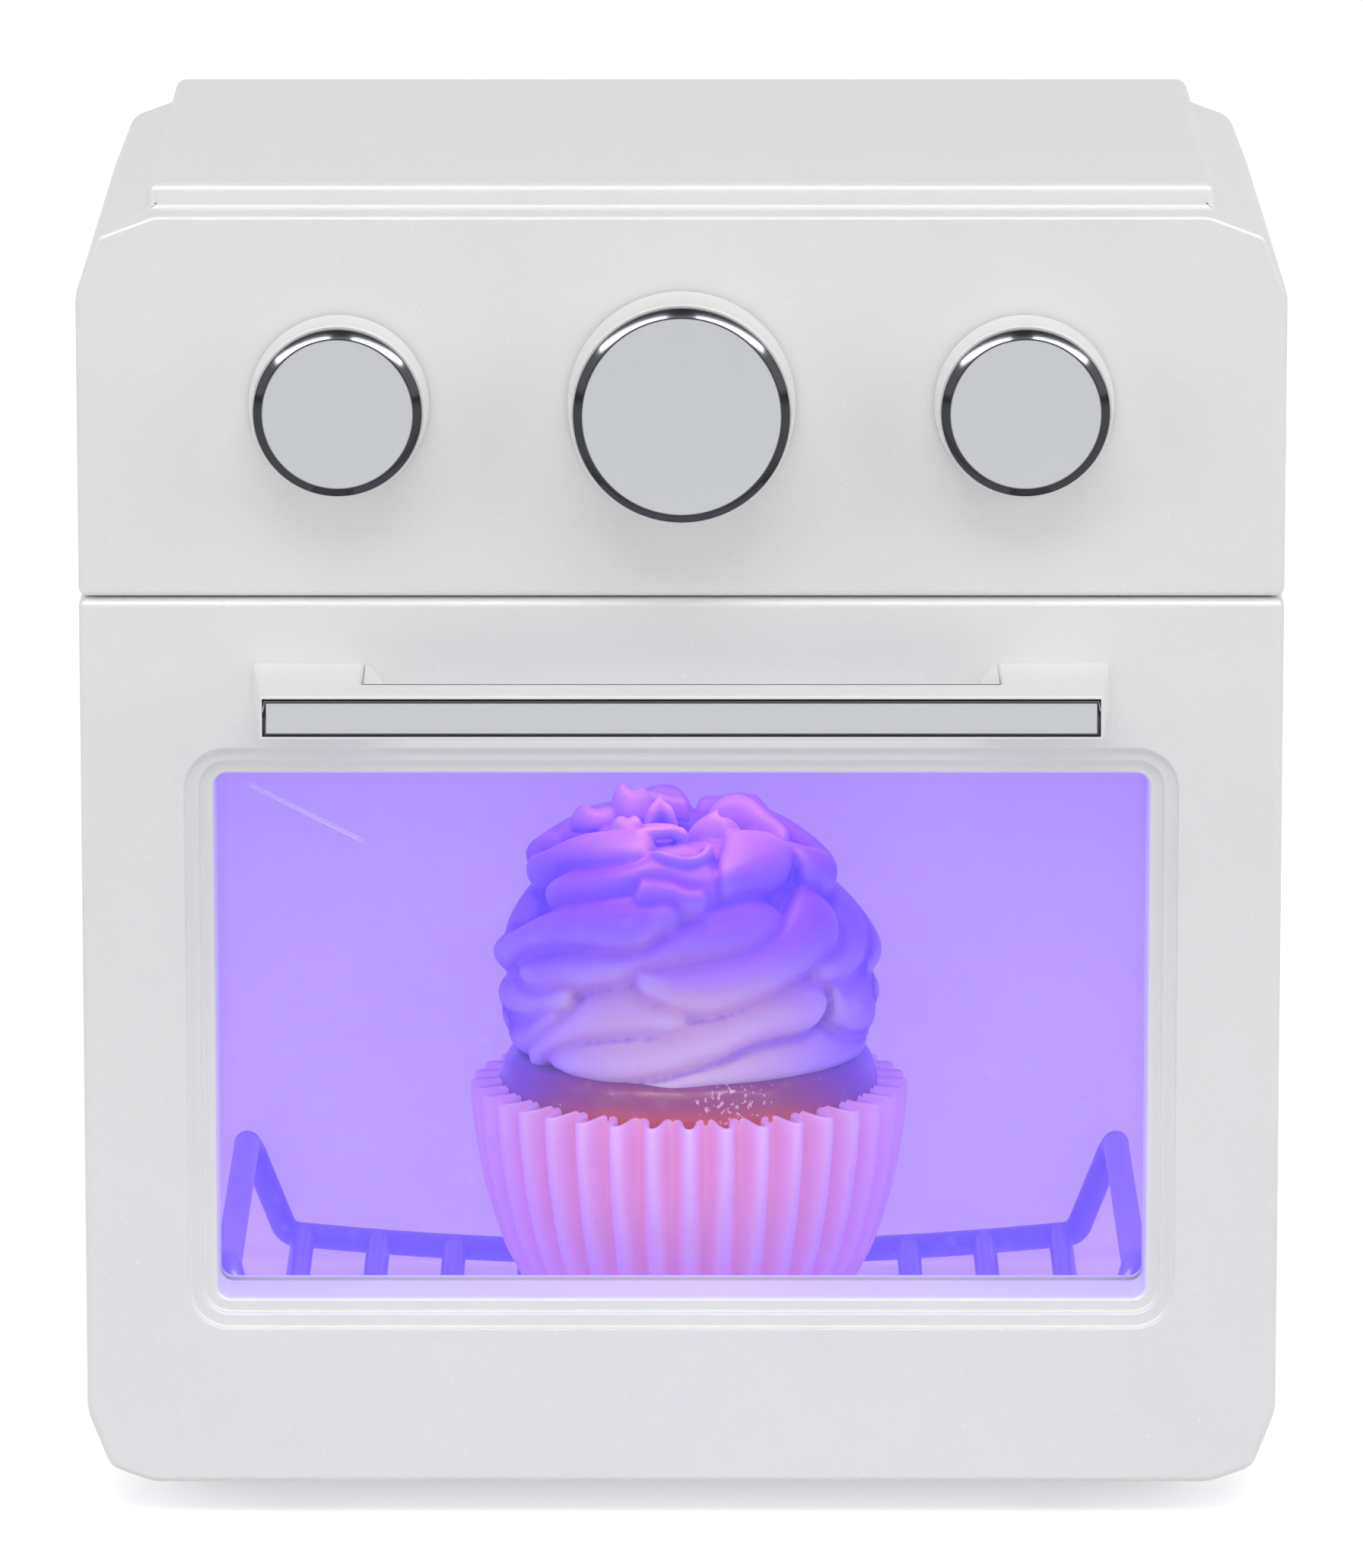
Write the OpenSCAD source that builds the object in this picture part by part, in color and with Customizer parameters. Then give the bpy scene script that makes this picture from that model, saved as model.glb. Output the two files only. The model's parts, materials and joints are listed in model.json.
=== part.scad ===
// Toy oven with a lit cavity, a drop-down door, three knobs, a wire rack and a play cupcake.
// All sizes are in millimetres. X is to the right, Y to the rear and Z up.

/* [Body] */
// Width of the body
body_w = 76; // [72:0.5:84]
// Height of the body above its feet
body_h = 82.4; // [80:0.2:90]
// Depth of the body without knobs and handle
body_d = 50; // [47:0.5:60]
// Thickness of the outer walls
wall = 1.8; // [1.5:0.1:2]
// Height of the control panel
panel_h = 24.4; // [23.6:0.2:26]
// Thickness of the control panel
panel_t = 2.4; // [1.8:0.1:3]
// Width of the cut on each corner
cut_x = 4.95; // [4:0.05:6]
// Height of the cut on each corner
cut_z = 5; // [4:0.1:6]
// Distance from the side to the bend in a corner cut
bend_x = 1.45; // [1:0.05:2]
// Distance from the top to the bend in a corner cut
bend_z = 1.3; // [0.8:0.1:2]
// Height of the raised plateau on top
plateau_h = 1.6; // [1:0.1:2.4]
// Distance from the side of the body to the plateau
plateau_side = 4.4; // [3.5:0.1:7]
// Distance from the front of the body to the plateau
plateau_front = 2.9; // [2.6:0.1:6]
// Distance from the back of the body to the plateau
plateau_back = 2.5; // [1:0.1:6]
// Height of the base tray's side walls
tray_h = 5; // [4.6:0.1:6]

/* [Feet] */
// Height of the feet
foot_h = 2; // [1.6:0.1:2.6]
// Diameter of the feet
foot_d = 7; // [5:0.5:9]
// Distance from the side of the body to the centre of a foot
foot_side = 8; // [7:0.5:9]
// Distance from the front of the base tray, or from the back, to the centre of a foot
foot_end = 6; // [5:0.5:8]
// Diameter of the plug on a foot
foot_plug_d = 3; // [2:0.5:4]

/* [Door] */
// Thickness of the whole door
door_t = 7; // [6.4:0.1:7.4]
// Thickness of the door's front skin
door_skin = 1.8; // [1.5:0.1:2]
// Thickness of the walls inside the door
door_wall = 1.6; // [1.2:0.1:1.8]
// Thickness of the frame at the back of the door
frame_t = 1.6; // [1.5:0.1:1.9]
// Space between the door and the body behind it
door_gap = 0.3; // [0.3:0.05:0.8]
// Width of the seam between the door and the control panel
seam_gap = 0.25; // [0.2:0.05:0.5]
// Height of the door's lower edge above the underside of the body
door_lift = 0.3; // [0.2:0.05:0.5]
// Width of the door beside the window
stile_w = 8.4; // [8:0.1:10]
// Height of the door above the window
top_rail = 11.35; // [11:0.05:13]
// Height of the door below the window
bottom_rail = 12; // [11:0.1:14]
// Radius of the window's corners
window_r = 0.8; // [0.4:0.1:2]
// Width of the stepped recess round the window
recess_w = 1.8; // [1.2:0.1:2.4]
// Depth of the stepped recess round the window
recess_depth = 0.9; // [0.6:0.1:1.1]
// Thickness of the window pane
pane_t = 0.8; // [0.6:0.1:1]
// How far the pane reaches behind the sill
pane_lap = 1.5; // [1:0.1:2]

/* [Hinge] */
// Diameter of a hinge pin
pin_d = 1.6; // [1.2:0.1:1.8]
// Running clearance round a hinge pin
pin_clear = 0.05; // [0.03:0.01:0.08]
// Distance from the front of the door to the hinge axis
hinge_back = 3.6; // [3.5:0.05:3.7]
// Height of the hinge axis above the underside of the body
hinge_up = 2.6; // [2.5:0.05:2.8]
// Distance from the side of the body to the middle of a hinge arm
hinge_side = 14; // [13:0.5:17]
// Width of a hinge arm
arm_w = 3; // [2.4:0.1:3.6]
// Thickness of a hinge arm
arm_t = 1.1; // [0.9:0.1:1.2]
// Width of a hinge lug on the door
lug_w = 2.8; // [2:0.1:3.4]
// Side clearance between an arm and the lugs
lug_gap = 0.2; // [0.1:0.05:0.4]
// Outer diameter of the hinge barrels
barrel_d = 3.2; // [2.9:0.1:3.3]

/* [Handle] */
// Reach of the handle in front of the door
handle_reach = 10.6; // [9:0.1:12]
// Width of the handle bar
handle_w = 52.6; // [46:0.2:58]
// Height of the handle bar
bar_h = 2.8; // [2.4:0.1:3.4]
// Thickness of the handle bar
bar_t = 3.8; // [3:0.1:4.5]
// Distance from the top of the door to the middle of the bar
handle_drop = 5.4; // [5:0.1:6]
// Width of a handle foot at the door
handle_foot_w = 7.1; // [6:0.1:9]
// How much wider than the bar the feet stand at the door, on each side
handle_flare = 0.7; // [0.3:0.1:1.2]
// Width of the low shoulder beside a handle foot
shoulder_w = 1.1; // [0.6:0.1:2]
// Margin of white plastic round the handle trim
trim_margin = 0.2; // [0.1:0.05:0.5]
// Thickness of the handle trim
trim_t = 0.5; // [0.4:0.1:1]
// Depth of the pocket that holds the handle trim
trim_pocket = 0.4; // [0.2:0.1:0.4]

/* [Knobs] */
// Diameter of the centre knob
centre_knob_d = 14.35; // [12:0.05:16]
// Diameter of the side knobs
side_knob_d = 11.35; // [9:0.05:13]
// Reach of the centre knob
centre_knob_reach = 5; // [4:0.1:6]
// Reach of the side knobs
side_knob_reach = 4.1; // [3.6:0.1:5]
// Distance between the centre knob and a side knob
knob_spacing = 21.5; // [18:0.5:23]
// Distance from the top of the body to the knob centres
knob_drop = 11.9; // [11.4:0.1:12.4]
// Thickness of a chrome cap
cap_t = 0.9; // [0.7:0.1:1.2]
// Step from the knob's edge in to its chrome cap
cap_step = 0.2; // [0.1:0.05:0.5]
// How much a knob narrows towards the front, on each side
knob_taper = 0.2; // [0:0.05:0.5]
// Space between a knob and the control panel
knob_gap = 0.15; // [0.1:0.05:0.3]
// Diameter of a knob's shaft
shaft_d = 3; // [2.6:0.1:3.2]
// Running clearance round a knob's shaft
shaft_clear = 0.05; // [0.03:0.01:0.08]

/* [Cavity] */
// Thickness of the cavity liner
liner_t = 0.8; // [0.6:0.1:0.9]
// Space between the liner and the outer walls
liner_gap = 0.6; // [0.5:0.05:0.8]
// Thickness of the liner's front flange
flange_t = 1.2; // [1:0.1:1.4]
// How far the cavity is wider than the window, on each side
cavity_side = 1.9; // [1.7:0.05:2]
// How far the cavity is higher than the window
cavity_over = 1.5; // [1.2:0.1:1.8]
// Radius of the cavity's long corners
cavity_r = 3; // [1:0.5:5]

/* [Rack] */
// Diameter of the rack's bars
rack_d = 1.7; // [1.4:0.1:2]
// Distance between the rack's bars
rack_pitch = 5.12; // [4.5:0.02:6]
// How far the rack's cross bars sag in the middle
rack_sag = 1.4; // [0.8:0.1:2]
// Height of the side rails above the ends of the cross bars
rail_up = 6.6; // [5:0.1:9]
// Distance from the cavity's side wall to the middle of a side rail
rail_side = 2.2; // [1.8:0.1:3]
// How far a side rail stands outside the rack's base
rail_out = 2.6; // [1.5:0.1:3.5]
// Space in front of the rack
rack_front = 0.7; // [0.6:0.1:1.2]
// Space behind the rack
rack_back = 1.8; // [1:0.1:3]
// Space between the middle of the rack and the cavity floor
rack_clear = 0.15; // [0.1:0.05:0.3]

/* [Cupcake] */
// Outer radius of the case at its bottom
case_r0 = 11.6; // [10:0.1:12]
// Outer radius of the case half way up
case_r1 = 13.7; // [12.5:0.1:14]
// Outer radius of the case at its rim
case_r2 = 14.5; // [13.5:0.1:15]
// Height of the case
case_h = 15.5; // [13:0.5:16]
// Wall of the case
case_wall = 0.45; // [0.3:0.05:0.6]
// Depth of the flutes
flute_depth = 0.7; // [0.4:0.05:1]
// Number of flutes
flutes = 36; // [30:2:40]
// Height of the cake above the rim
cake_up = 2.1; // [1:0.1:2.4]
// Radius of the flat part of the cake under the icing
cake_r = 11.5; // [10:0.1:12]
// Height of the icing
icing_h = 17.5; // [15:0.1:17.6]
// Largest radius of the icing
icing_r = 12.8; // [11:0.1:13.4]
// Number of ribs in the icing's swirl
icing_ribs = 7; // [5:1:9]
// Depth of the ribs
rib_depth = 1.3; // [0.6:0.1:1.8]
// Turn of the swirl from bottom to top, in degrees
icing_twist = 150; // [90:5:220]

/* [Lamp and batteries] */
// Width of the lamp lens
lens_w = 20; // [16:1:24]
// Depth of the lamp lens
lens_d = 6; // [5:0.5:8]
// Distance from the front of the cavity to the middle of the lens
lens_back = 14; // [12:0.5:18]
// Thickness of the circuit boards
board_t = 1; // [0.8:0.1:1.2]
// Diameter of a battery cell
cell_d = 10.5; // [10.3:0.1:10.5]
// Length of a battery cell
cell_l = 44.5; // [44:0.1:44.8]
// Room for the contacts at each end of a cell
contact_room = 3; // [2.6:0.1:3.4]
// Wall of the battery box
box_wall = 1; // [0.8:0.1:1.1]
// Diameter of the wires
wire_d = 1.1; // [0.8:0.1:1.3]

/* [Screws] */
// Diameter of a screw's thread
screw_d = 1.5; // [1.2:0.1:1.6]
// Diameter of a screw's head
screw_head_d = 2.8; // [2.4:0.1:3]
// Height of a screw's head
screw_head_h = 0.8; // [0.6:0.1:1]
// Diameter of the bosses
boss_d = 3.6; // [3.2:0.1:3.6]
// Distance from the side of the body to the bosses
boss_side = 3.7; // [3.6:0.05:3.8]

/* [Hidden] */
$fn = 64;
eps = 0.02;
past = 1;
white = "#ECEBE8";
chrome = "#C9CCD2";
grey = "#9A9CA2";

half_w = body_w / 2;
base_z = foot_h;
top_z = base_z + body_h;
seam_z = top_z - panel_h;
panel_z = seam_z + seam_gap / 2;
tray_top_z = base_z + tray_h;
front_y = (handle_reach - body_d) / 2;
cover_y = body_d - wall;

door_top_z = seam_z - seam_gap / 2;
door_bottom_z = base_z + door_lift;
body_front = door_t + door_gap;
sill_y = door_t - frame_t;
frame_bottom_z = hinge_z() - 0.4;
frame_inset = 0.3;
win_x = half_w - stile_w;
win_z0 = door_bottom_z + bottom_rail;
win_z1 = door_top_z - top_rail;

hinge_x = half_w - hinge_side;
lug_x = arm_w / 2 + lug_gap;
handle_z = door_top_z - handle_drop;
knob_z = top_z - knob_drop;

cav_x = win_x + cavity_side;
cav_z0 = base_z + wall + liner_gap + liner_t;
cav_z1 = win_z1 + cavity_over;
cav_y1 = cover_y - liner_gap - liner_t;
roof_z = cav_z1 + liner_t;
flange_y = body_front + flange_t;

ear_y = flange_y + 0.1;
ear_t = 1.6;
ear_x = half_w - 9;
ear_z0 = roof_z + 0.7;
shelf_t = 1.6;
boss_x = half_w - boss_side;
corner_boss_x = half_w - 5.5;
panel_boss_z = [panel_z + 5.4, top_z - 5.6];
liner_screw_z = roof_z + 4.5;
base_screw_y = [body_front + 12.7, body_d - 12];
cover_boss_l = 7;
base_boss_l = 6;
base_well = 2;
door_screw_x = half_w - 3.7;
door_screw_z = [base_z + 7.4, door_top_z - 4.2];
handle_foot_x = handle_w / 2 + handle_flare - handle_foot_w / 2;

rack_y0 = body_front + rack_front + rack_d / 2;
rack_y1 = cav_y1 - rack_back - rack_d / 2;
rack_low = cav_z0 + rack_d / 2 + rack_clear;
rack_end_z = rack_low + rack_sag;
rail_x = cav_x - rail_side;
rack_foot_x = rail_x - rail_out;
rack_bow = (rack_foot_x * rack_foot_x + rack_sag * rack_sag) / (2 * rack_sag);
rack_bend = 1.6;
rack_step = 0.1;
rack_joint = 1.02;
rack_lap = 0.1;
rail_lean = atan2(rail_out, rail_up);
rail_in = [-cos(rail_lean), sin(rail_lean)];
foot_bend_r = rack_d / 2 + 0.35;
foot_bend = tangent_centre([rack_foot_x, rack_end_z], rail_lean, rail_in, foot_bend_r);
foot_turn = 90 - rail_lean - atan2(foot_bend.x, rack_low + rack_bow - foot_bend.y);
rack_bars = floor((rack_foot_x - rack_d / 2) / rack_pitch);

cup_x = 0.5;
cup_y = (rack_y0 + rack_y1) / 2;
case_z = bar_z(case_r0 + abs(cup_x)) + rack_d / 2 + 0.05;
rim_z = case_z + case_h;
case_mid_z = case_z + 0.58 * case_h;
cake_z = rim_z + cake_up;
cake_play = 0.06;

lens_y = body_front + lens_back;
lens_lip = 0.8;
led_d = 3;
led_pitch = 6;
led_gap = 0.3;
led_h = 3.2;
lamp_board_z = roof_z + lens_lip + led_gap + led_h;
lamp_post_x = 11;
lamp_board_x = 13.5;
lamp_board_d = 11;

box_z1 = top_z - wall - 0.3;
box_z0 = box_z1 - 2 * cell_d - 2 * box_wall - 0.6;
box_x = cell_l / 2 + contact_room + box_wall;
box_y = cover_y - cell_d - box_wall - 0.2;
box_mid_z = (box_z0 + box_z1) / 2;
cell_y = cover_y - cell_d / 2 - 0.1;
cell_z = [box_mid_z - cell_d / 2 - 0.15, box_mid_z + cell_d / 2 + 0.15];
contact_t = 0.4;
tongue_y = box_y - 1.6;
hatch_t = 1.3;
cover_screw_z = [base_z + 12, box_z0 - boss_d / 2 - 3];
hatch_play = 0.15;
hatch_ear = 5;
hatch_screw_x = box_x + hatch_ear - 2.4;
ear_peg_z = box_z0 + 4;
ear_peg_x = box_x + 2.3;

wire_joint = 1.1;

switch_t = 3.2;
switch_y = panel_t + 1.2;
switch_board_y = switch_y + switch_t;
switch_board_x = 13;
switch_post_x = 10.4;
switch_post_z = 6;

// Height of the hinge axis
function hinge_z() = base_z + hinge_up;

// Centre of the bend between the rack's bow and a riser that leans out from the point p
function tangent_centre(p, lean, inward, r) =
    let(q = p + r * inward - [0, rack_low + rack_bow],
        up = [sin(lean), cos(lean)],
        along = -q * up - sqrt(pow(q * up, 2) - q * q + pow(rack_bow - r, 2)))
    p + r * inward + along * up;

// Height of a rack bar's middle at a distance from the centre of the rack
function bar_z(x) = rack_low + rack_bow - sqrt(rack_bow * rack_bow - x * x);

function unit(v) = v / norm(v);

// Convex outline, counter-clockwise, with each side moved in by t
function inset(points, t) = [
    for (i = [0:len(points) - 1])
        let (
            p = points[i],
            u = unit(p - points[(i + len(points) - 1) % len(points)]),
            v = unit(points[(i + 1) % len(points)] - p),
            a = [-u.y, u.x],
            b = [-v.y, v.x]
        )
        p + t * (a + b) / (1 + a * b)
];

// Corner from the bottom of the right side to the top, each corner cut in two flats
right_side = [
    [half_w - cut_x, base_z], [half_w - bend_x, base_z + bend_z], [half_w, base_z + cut_z],
    [half_w, top_z - cut_z], [half_w - bend_x, top_z - bend_z], [half_w - cut_x, top_z]
];
outline = concat(right_side, [for (i = [5:-1:0]) [-right_side[i].x, right_side[i].y]]);

// Moves a piece from the front face of the body to its place in the part
module placed() { translate([0, front_y, 0]) children(); }

// Extrudes an outline drawn in X and Z, from y0 to y1
module slab(y0, y1) {
    translate([0, y1, 0]) rotate([90, 0, 0]) linear_extrude(y1 - y0) children();
}

// Keeps what lies between two heights
module band(z0, z1) {
    intersection() {
        children();
        translate([-half_w - past, z0]) square([body_w + 2 * past, z1 - z0]);
    }
}

// Rectangle in X and Z with round corners, the same on both sides of the centre
module round_window(x, z0, z1, r) {
    translate([-x + r, z0]) square([2 * (x - r), z1 - z0]);
    translate([-x, z0 + r]) square([2 * x, z1 - z0 - 2 * r]);
    for (cx = [-x + r, x - r], cz = [z0 + r, z1 - r]) translate([cx, cz]) circle(r);
}

// Cylinder along Y
module rod_y(x, z, d, y0, y1) {
    translate([x, y1, z]) rotate([90, 0, 0]) cylinder(h = y1 - y0, d = d);
}

// Cylinder along X
module rod_x(y, z, d, x0, x1) {
    translate([x0, y, z]) rotate([0, 90, 0]) cylinder(h = x1 - x0, d = d);
}

// Block from one corner to the opposite one
module block(a, b) { translate(a) cube(b - a); }

// Round bar between two points
module bar(a, b, d) {
    v = b - a;
    translate(a) rotate([0, acos(v.z / norm(v)), atan2(v.y, v.x)]) cylinder(h = norm(v), d = d);
}

// Round bar along a list of points, with round joints
module bent_bar(points, d, joint = 1.01) {
    for (i = [0:len(points) - 2]) bar(points[i], points[i + 1], d);
    if (len(points) > 2) for (i = [1:len(points) - 2]) translate(points[i]) sphere(d = d * joint);
}

// Screw along Z with its head above zero
module screw(l, head_d = screw_head_d, head_h = screw_head_h) {
    slot = head_d * 0.62;
    difference() {
        union() {
            cylinder(h = head_h, d = head_d);
            translate([0, 0, -l]) cylinder(h = l + eps, d = screw_d);
        }
        for (turn = [0, 90]) rotate(turn)
            translate([-slot / 2, -screw_d / 8, head_h / 2]) cube([slot, screw_d / 4, head_h]);
    }
}

// Screw with its head to the rear
module screw_back(x, y, z, l) { translate([x, y, z]) rotate([-90, 0, 0]) screw(l); }

// Solid through closed rings of points, each ring counter-clockwise from above
module loft(rings) {
    n = len(rings[0]);
    m = len(rings);
    polyhedron(
        points = [for (r = rings) each r],
        faces = concat(
            [[for (i = [0:n - 1]) i]],
            [for (k = [0:m - 2], i = [0:n - 1])
                let (a = k * n + i, b = k * n + (i + 1) % n)
                each [[a, a + n, b], [b, a + n, b + n]]],
            [[for (i = [n - 1:-1:0]) (m - 1) * n + i]]
        )
    );
}

// Body

module outer_shell() {
    color(white) placed() difference() {
        union() {
            difference() {
                union() {
                    slab(panel_t, body_d) band(panel_z, top_z) polygon(outline);
                    slab(body_front, body_d) band(tray_top_z, panel_z + eps) polygon(outline);
                    block([plateau_side - half_w, plateau_front, top_z - wall],
                        [half_w - plateau_side, body_d - plateau_back, top_z + plateau_h]);
                }
                slab(panel_t - past, body_d + past) polygon(inset(outline, wall));
                block([plateau_side + wall - half_w, plateau_front + wall, top_z - 2 * wall],
                    [half_w - plateau_side - wall, body_d - plateau_back - wall,
                        top_z + plateau_h - wall]);
            }
            shell_ears();
            for (side = [-1, 1]) {
                for (z = cover_screw_z) {
                    rod_y(side * boss_x, z, boss_d, cover_y - cover_boss_l, cover_y);
                    boss_web(side, cover_y - cover_boss_l, cover_y, z - boss_d / 4, z + boss_d / 4);
                }
                for (y = base_screw_y) {
                    translate([side * boss_x, y, tray_top_z]) cylinder(h = base_boss_l, d = boss_d);
                    boss_web(side, y - boss_d / 4, y + boss_d / 4, tray_top_z,
                        tray_top_z + base_boss_l);
                }
            }
        }
        for (side = [-1, 1]) {
            for (z = cover_screw_z)
                rod_y(side * boss_x, z, screw_d, cover_y - cover_boss_l + 1, cover_y + past);
            for (y = base_screw_y)
                translate([side * boss_x, y, tray_top_z - past])
                    cylinder(h = base_boss_l, d = screw_d);
            for (z = panel_boss_z)
                rod_y(side * corner_boss_x, z, screw_d, ear_y - past, ear_y + ear_t + past);
            rod_y(side * corner_boss_x, liner_screw_z, screw_d, ear_y - past, ear_y + ear_t + past);
        }
    }
}

// Tabs in the shell that the control panel and the liner are screwed to
module shell_ears() {
    slab(ear_y, ear_y + ear_t) difference() {
        band(ear_z0, top_z - wall / 2) polygon(inset(outline, wall / 2));
        translate([-ear_x, 0]) square([2 * ear_x, top_z + past]);
    }
}

// Web that ties a boss to the side wall
module boss_web(side, y0, y1, z0, z1) {
    x0 = side > 0 ? boss_x : -half_w + wall / 2;
    x1 = side > 0 ? half_w - wall / 2 : -boss_x;
    block([x0, y0, z0], [x1, y1, z1]);
}

module base_tray() {
    color(white) placed() difference() {
        union() {
            slab(body_front, body_d) difference() {
                band(base_z, tray_top_z) polygon(outline);
                polygon(inset(outline, wall));
            }
            for (side = [-1, 1], y = base_screw_y) intersection() {
                slab(body_front, body_d) band(base_z, tray_top_z) polygon(outline);
                translate([side * boss_x, y, base_z]) cylinder(h = tray_h, d = boss_d);
            }
            for (y = base_screw_y)
                block([-win_x, y, base_z + wall - eps], [win_x, y + 1, base_z + wall + liner_gap]);
            for (side = [-1, 1]) hinge_arm(side * hinge_x);
        }
        for (side = [-1, 1], y = base_screw_y) translate([side * boss_x, y, base_z - past]) {
            cylinder(h = base_well + past, d = screw_head_d + 0.2);
            cylinder(h = tray_h + 2 * past, d = screw_d + 0.1);
        }
        for (side = [-1, 1], y = foot_ys()) translate([side * foot_x(), y, base_z - past])
            cylinder(h = wall + 2 * past, d = foot_plug_d);
        rod_x(hinge_back, hinge_z(), pin_d + 2 * pin_clear, -half_w, half_w);
    }
}

// Arm that holds a hinge pin in front of the tray
module hinge_arm(x) {
    rod_x(hinge_back, hinge_z(), barrel_d, x - arm_w / 2, x + arm_w / 2);
    block([x - arm_w / 2, hinge_back, hinge_z() - barrel_d / 2],
        [x + arm_w / 2, body_front + 1.2, hinge_z() - barrel_d / 2 + arm_t]);
}

function foot_x() = half_w - foot_side;
function foot_ys() = [body_front + foot_end, body_d - foot_end];

module foot(side, y) {
    color("#55565A") placed() translate([side * foot_x(), y, 0]) {
        cylinder(h = foot_h, d = foot_d);
        translate([0, 0, foot_h - eps]) cylinder(h = wall + eps, d = foot_plug_d);
    }
}

module front_left_foot() { foot(-1, foot_ys()[0]); }
module front_right_foot() { foot(1, foot_ys()[0]); }
module rear_left_foot() { foot(-1, foot_ys()[1]); }
module rear_right_foot() { foot(1, foot_ys()[1]); }

module rear_cover() {
    color(white) placed() difference() {
        union() {
            slab(cover_y, body_d) polygon(inset(outline, wall + 0.1));
            rod_y(hatch_screw_x, box_mid_z, boss_d, cover_y - 4.4, cover_y + eps);
            for (side = [-1, 1])
                rod_y(side * ear_peg_x, ear_peg_z, 2, cover_y - 2.6, cover_y + eps);
        }
        block([-box_x + box_wall, cover_y - past, box_z0 + box_wall],
            [box_x - box_wall, body_d + past, box_z1 - box_wall]);
        block([-box_x, body_d - hatch_t, box_z0], [box_x + hatch_ear, body_d + past, box_z1 - 0.3]);
        for (side = [-1, 1], z = cover_screw_z) {
            rod_y(side * boss_x, z, screw_d + 0.1, cover_y - past, body_d + past);
            rod_y(side * boss_x, z, screw_head_d + 0.2, body_d - screw_head_h, body_d + past);
        }
        rod_y(hatch_screw_x, box_mid_z, screw_d, cover_y - 3.8, body_d + past);
    }
}

module rear_cover_screws() {
    color(grey) placed() for (side = [-1, 1], z = cover_screw_z)
        screw_back(side * boss_x, body_d - screw_head_h, z, 5);
}

module base_screws() {
    color(grey) placed() for (side = [-1, 1], y = base_screw_y)
        translate([side * boss_x, y, base_z + base_well]) rotate([180, 0, 0]) screw(6);
}

module control_panel() {
    color(white) placed() difference() {
        union() {
            slab(0, panel_t) band(panel_z, top_z) polygon(outline);
            block([wall + 0.1 - half_w, panel_t - eps, panel_z],
                [half_w - wall - 0.1, body_front - 0.15, panel_z + shelf_t]);
            for (side = [-1, 1]) {
                for (z = panel_boss_z)
                    rod_y(side * corner_boss_x, z, boss_d, panel_t - eps, ear_y);
                rod_y(side * switch_post_x, knob_z + side * switch_post_z, boss_d,
                    panel_t - eps, switch_board_y);
            }
        }
        for (x = [-knob_spacing, 0, knob_spacing])
            rod_y(x, knob_z, shaft_d + 2 * shaft_clear, -past, panel_t + past);
        for (side = [-1, 1]) {
            for (z = panel_boss_z)
                rod_y(side * corner_boss_x, z, screw_d, ear_y - 4, ear_y + past);
            rod_y(side * switch_post_x, knob_z + side * switch_post_z, screw_d,
                switch_board_y - 3, switch_board_y + past);
        }
    }
}

module panel_screws() {
    color(grey) placed() for (side = [-1, 1], z = panel_boss_z)
        screw_back(side * corner_boss_x, ear_y + ear_t, z, ear_t + 3);
}

// Cavity

module cavity_liner() {
    color("#F1EEF6") placed() difference() {
        union() {
            slab(body_front, cav_y1 + liner_t)
                round_window(cav_x + liner_t, cav_z0 - liner_t, roof_z, cavity_r + liner_t);
            slab(body_front, flange_y)
                band(cav_z0 - liner_t, panel_z + shelf_t) polygon(inset(outline, wall + 0.1));
            for (side = [-1, 1]) translate([side * lamp_post_x, lens_y, roof_z - eps])
                cylinder(h = lamp_board_z - roof_z + eps, d = boss_d);
        }
        slab(body_front - past, cav_y1) round_window(cav_x, cav_z0, cav_z1, cavity_r);
        block([-lens_w / 2, lens_y - lens_d / 2, cav_z1 - past],
            [lens_w / 2, lens_y + lens_d / 2, roof_z + eps]);
        for (side = [-1, 1]) {
            translate([side * lamp_post_x, lens_y, lamp_board_z - 2])
                cylinder(h = 2 + past, d = screw_d);
            rod_y(side * corner_boss_x, liner_screw_z, screw_d + 0.1,
                body_front - past, flange_y + past);
            rod_y(side * corner_boss_x, liner_screw_z, screw_head_d + 0.2,
                body_front - past, body_front + screw_head_h);
        }
    }
}

module liner_screws() {
    color(grey) placed() for (side = [-1, 1])
        translate([side * corner_boss_x, body_front + screw_head_h, liner_screw_z])
            rotate([90, 0, 0]) screw(flange_t + ear_t - screw_head_h);
}

module wire_rack() {
    reach = atan2(foot_bend.x, rack_low + rack_bow - foot_bend.y) + rack_lap / rack_bow * 180 / PI;
    color(grey) placed() {
        for (y = [rack_y0, rack_y1])
            translate([0, y, rack_low + rack_bow]) rotate([90, 0, 0]) rotate(-90 - reach)
                rotate_extrude(angle = 2 * reach, $fn = 1080)
                    translate([rack_bow, 0]) circle(d = rack_d, $fn = 48);
        for (i = [-rack_bars:rack_bars])
            bar([i * rack_pitch, rack_y0, bar_z(i * rack_pitch)],
                [i * rack_pitch, rack_y1, bar_z(i * rack_pitch)], rack_d - rack_step);
        for (side = [0, 1]) mirror([side, 0, 0]) rack_rail();
    }
}

// Bent wire of the rack, from the first angle, turning about a centre by another angle
module rack_turn(r, angle) {
    rotate_extrude(angle = angle) translate([r, 0]) circle(d = rack_d * rack_joint);
}

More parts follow.
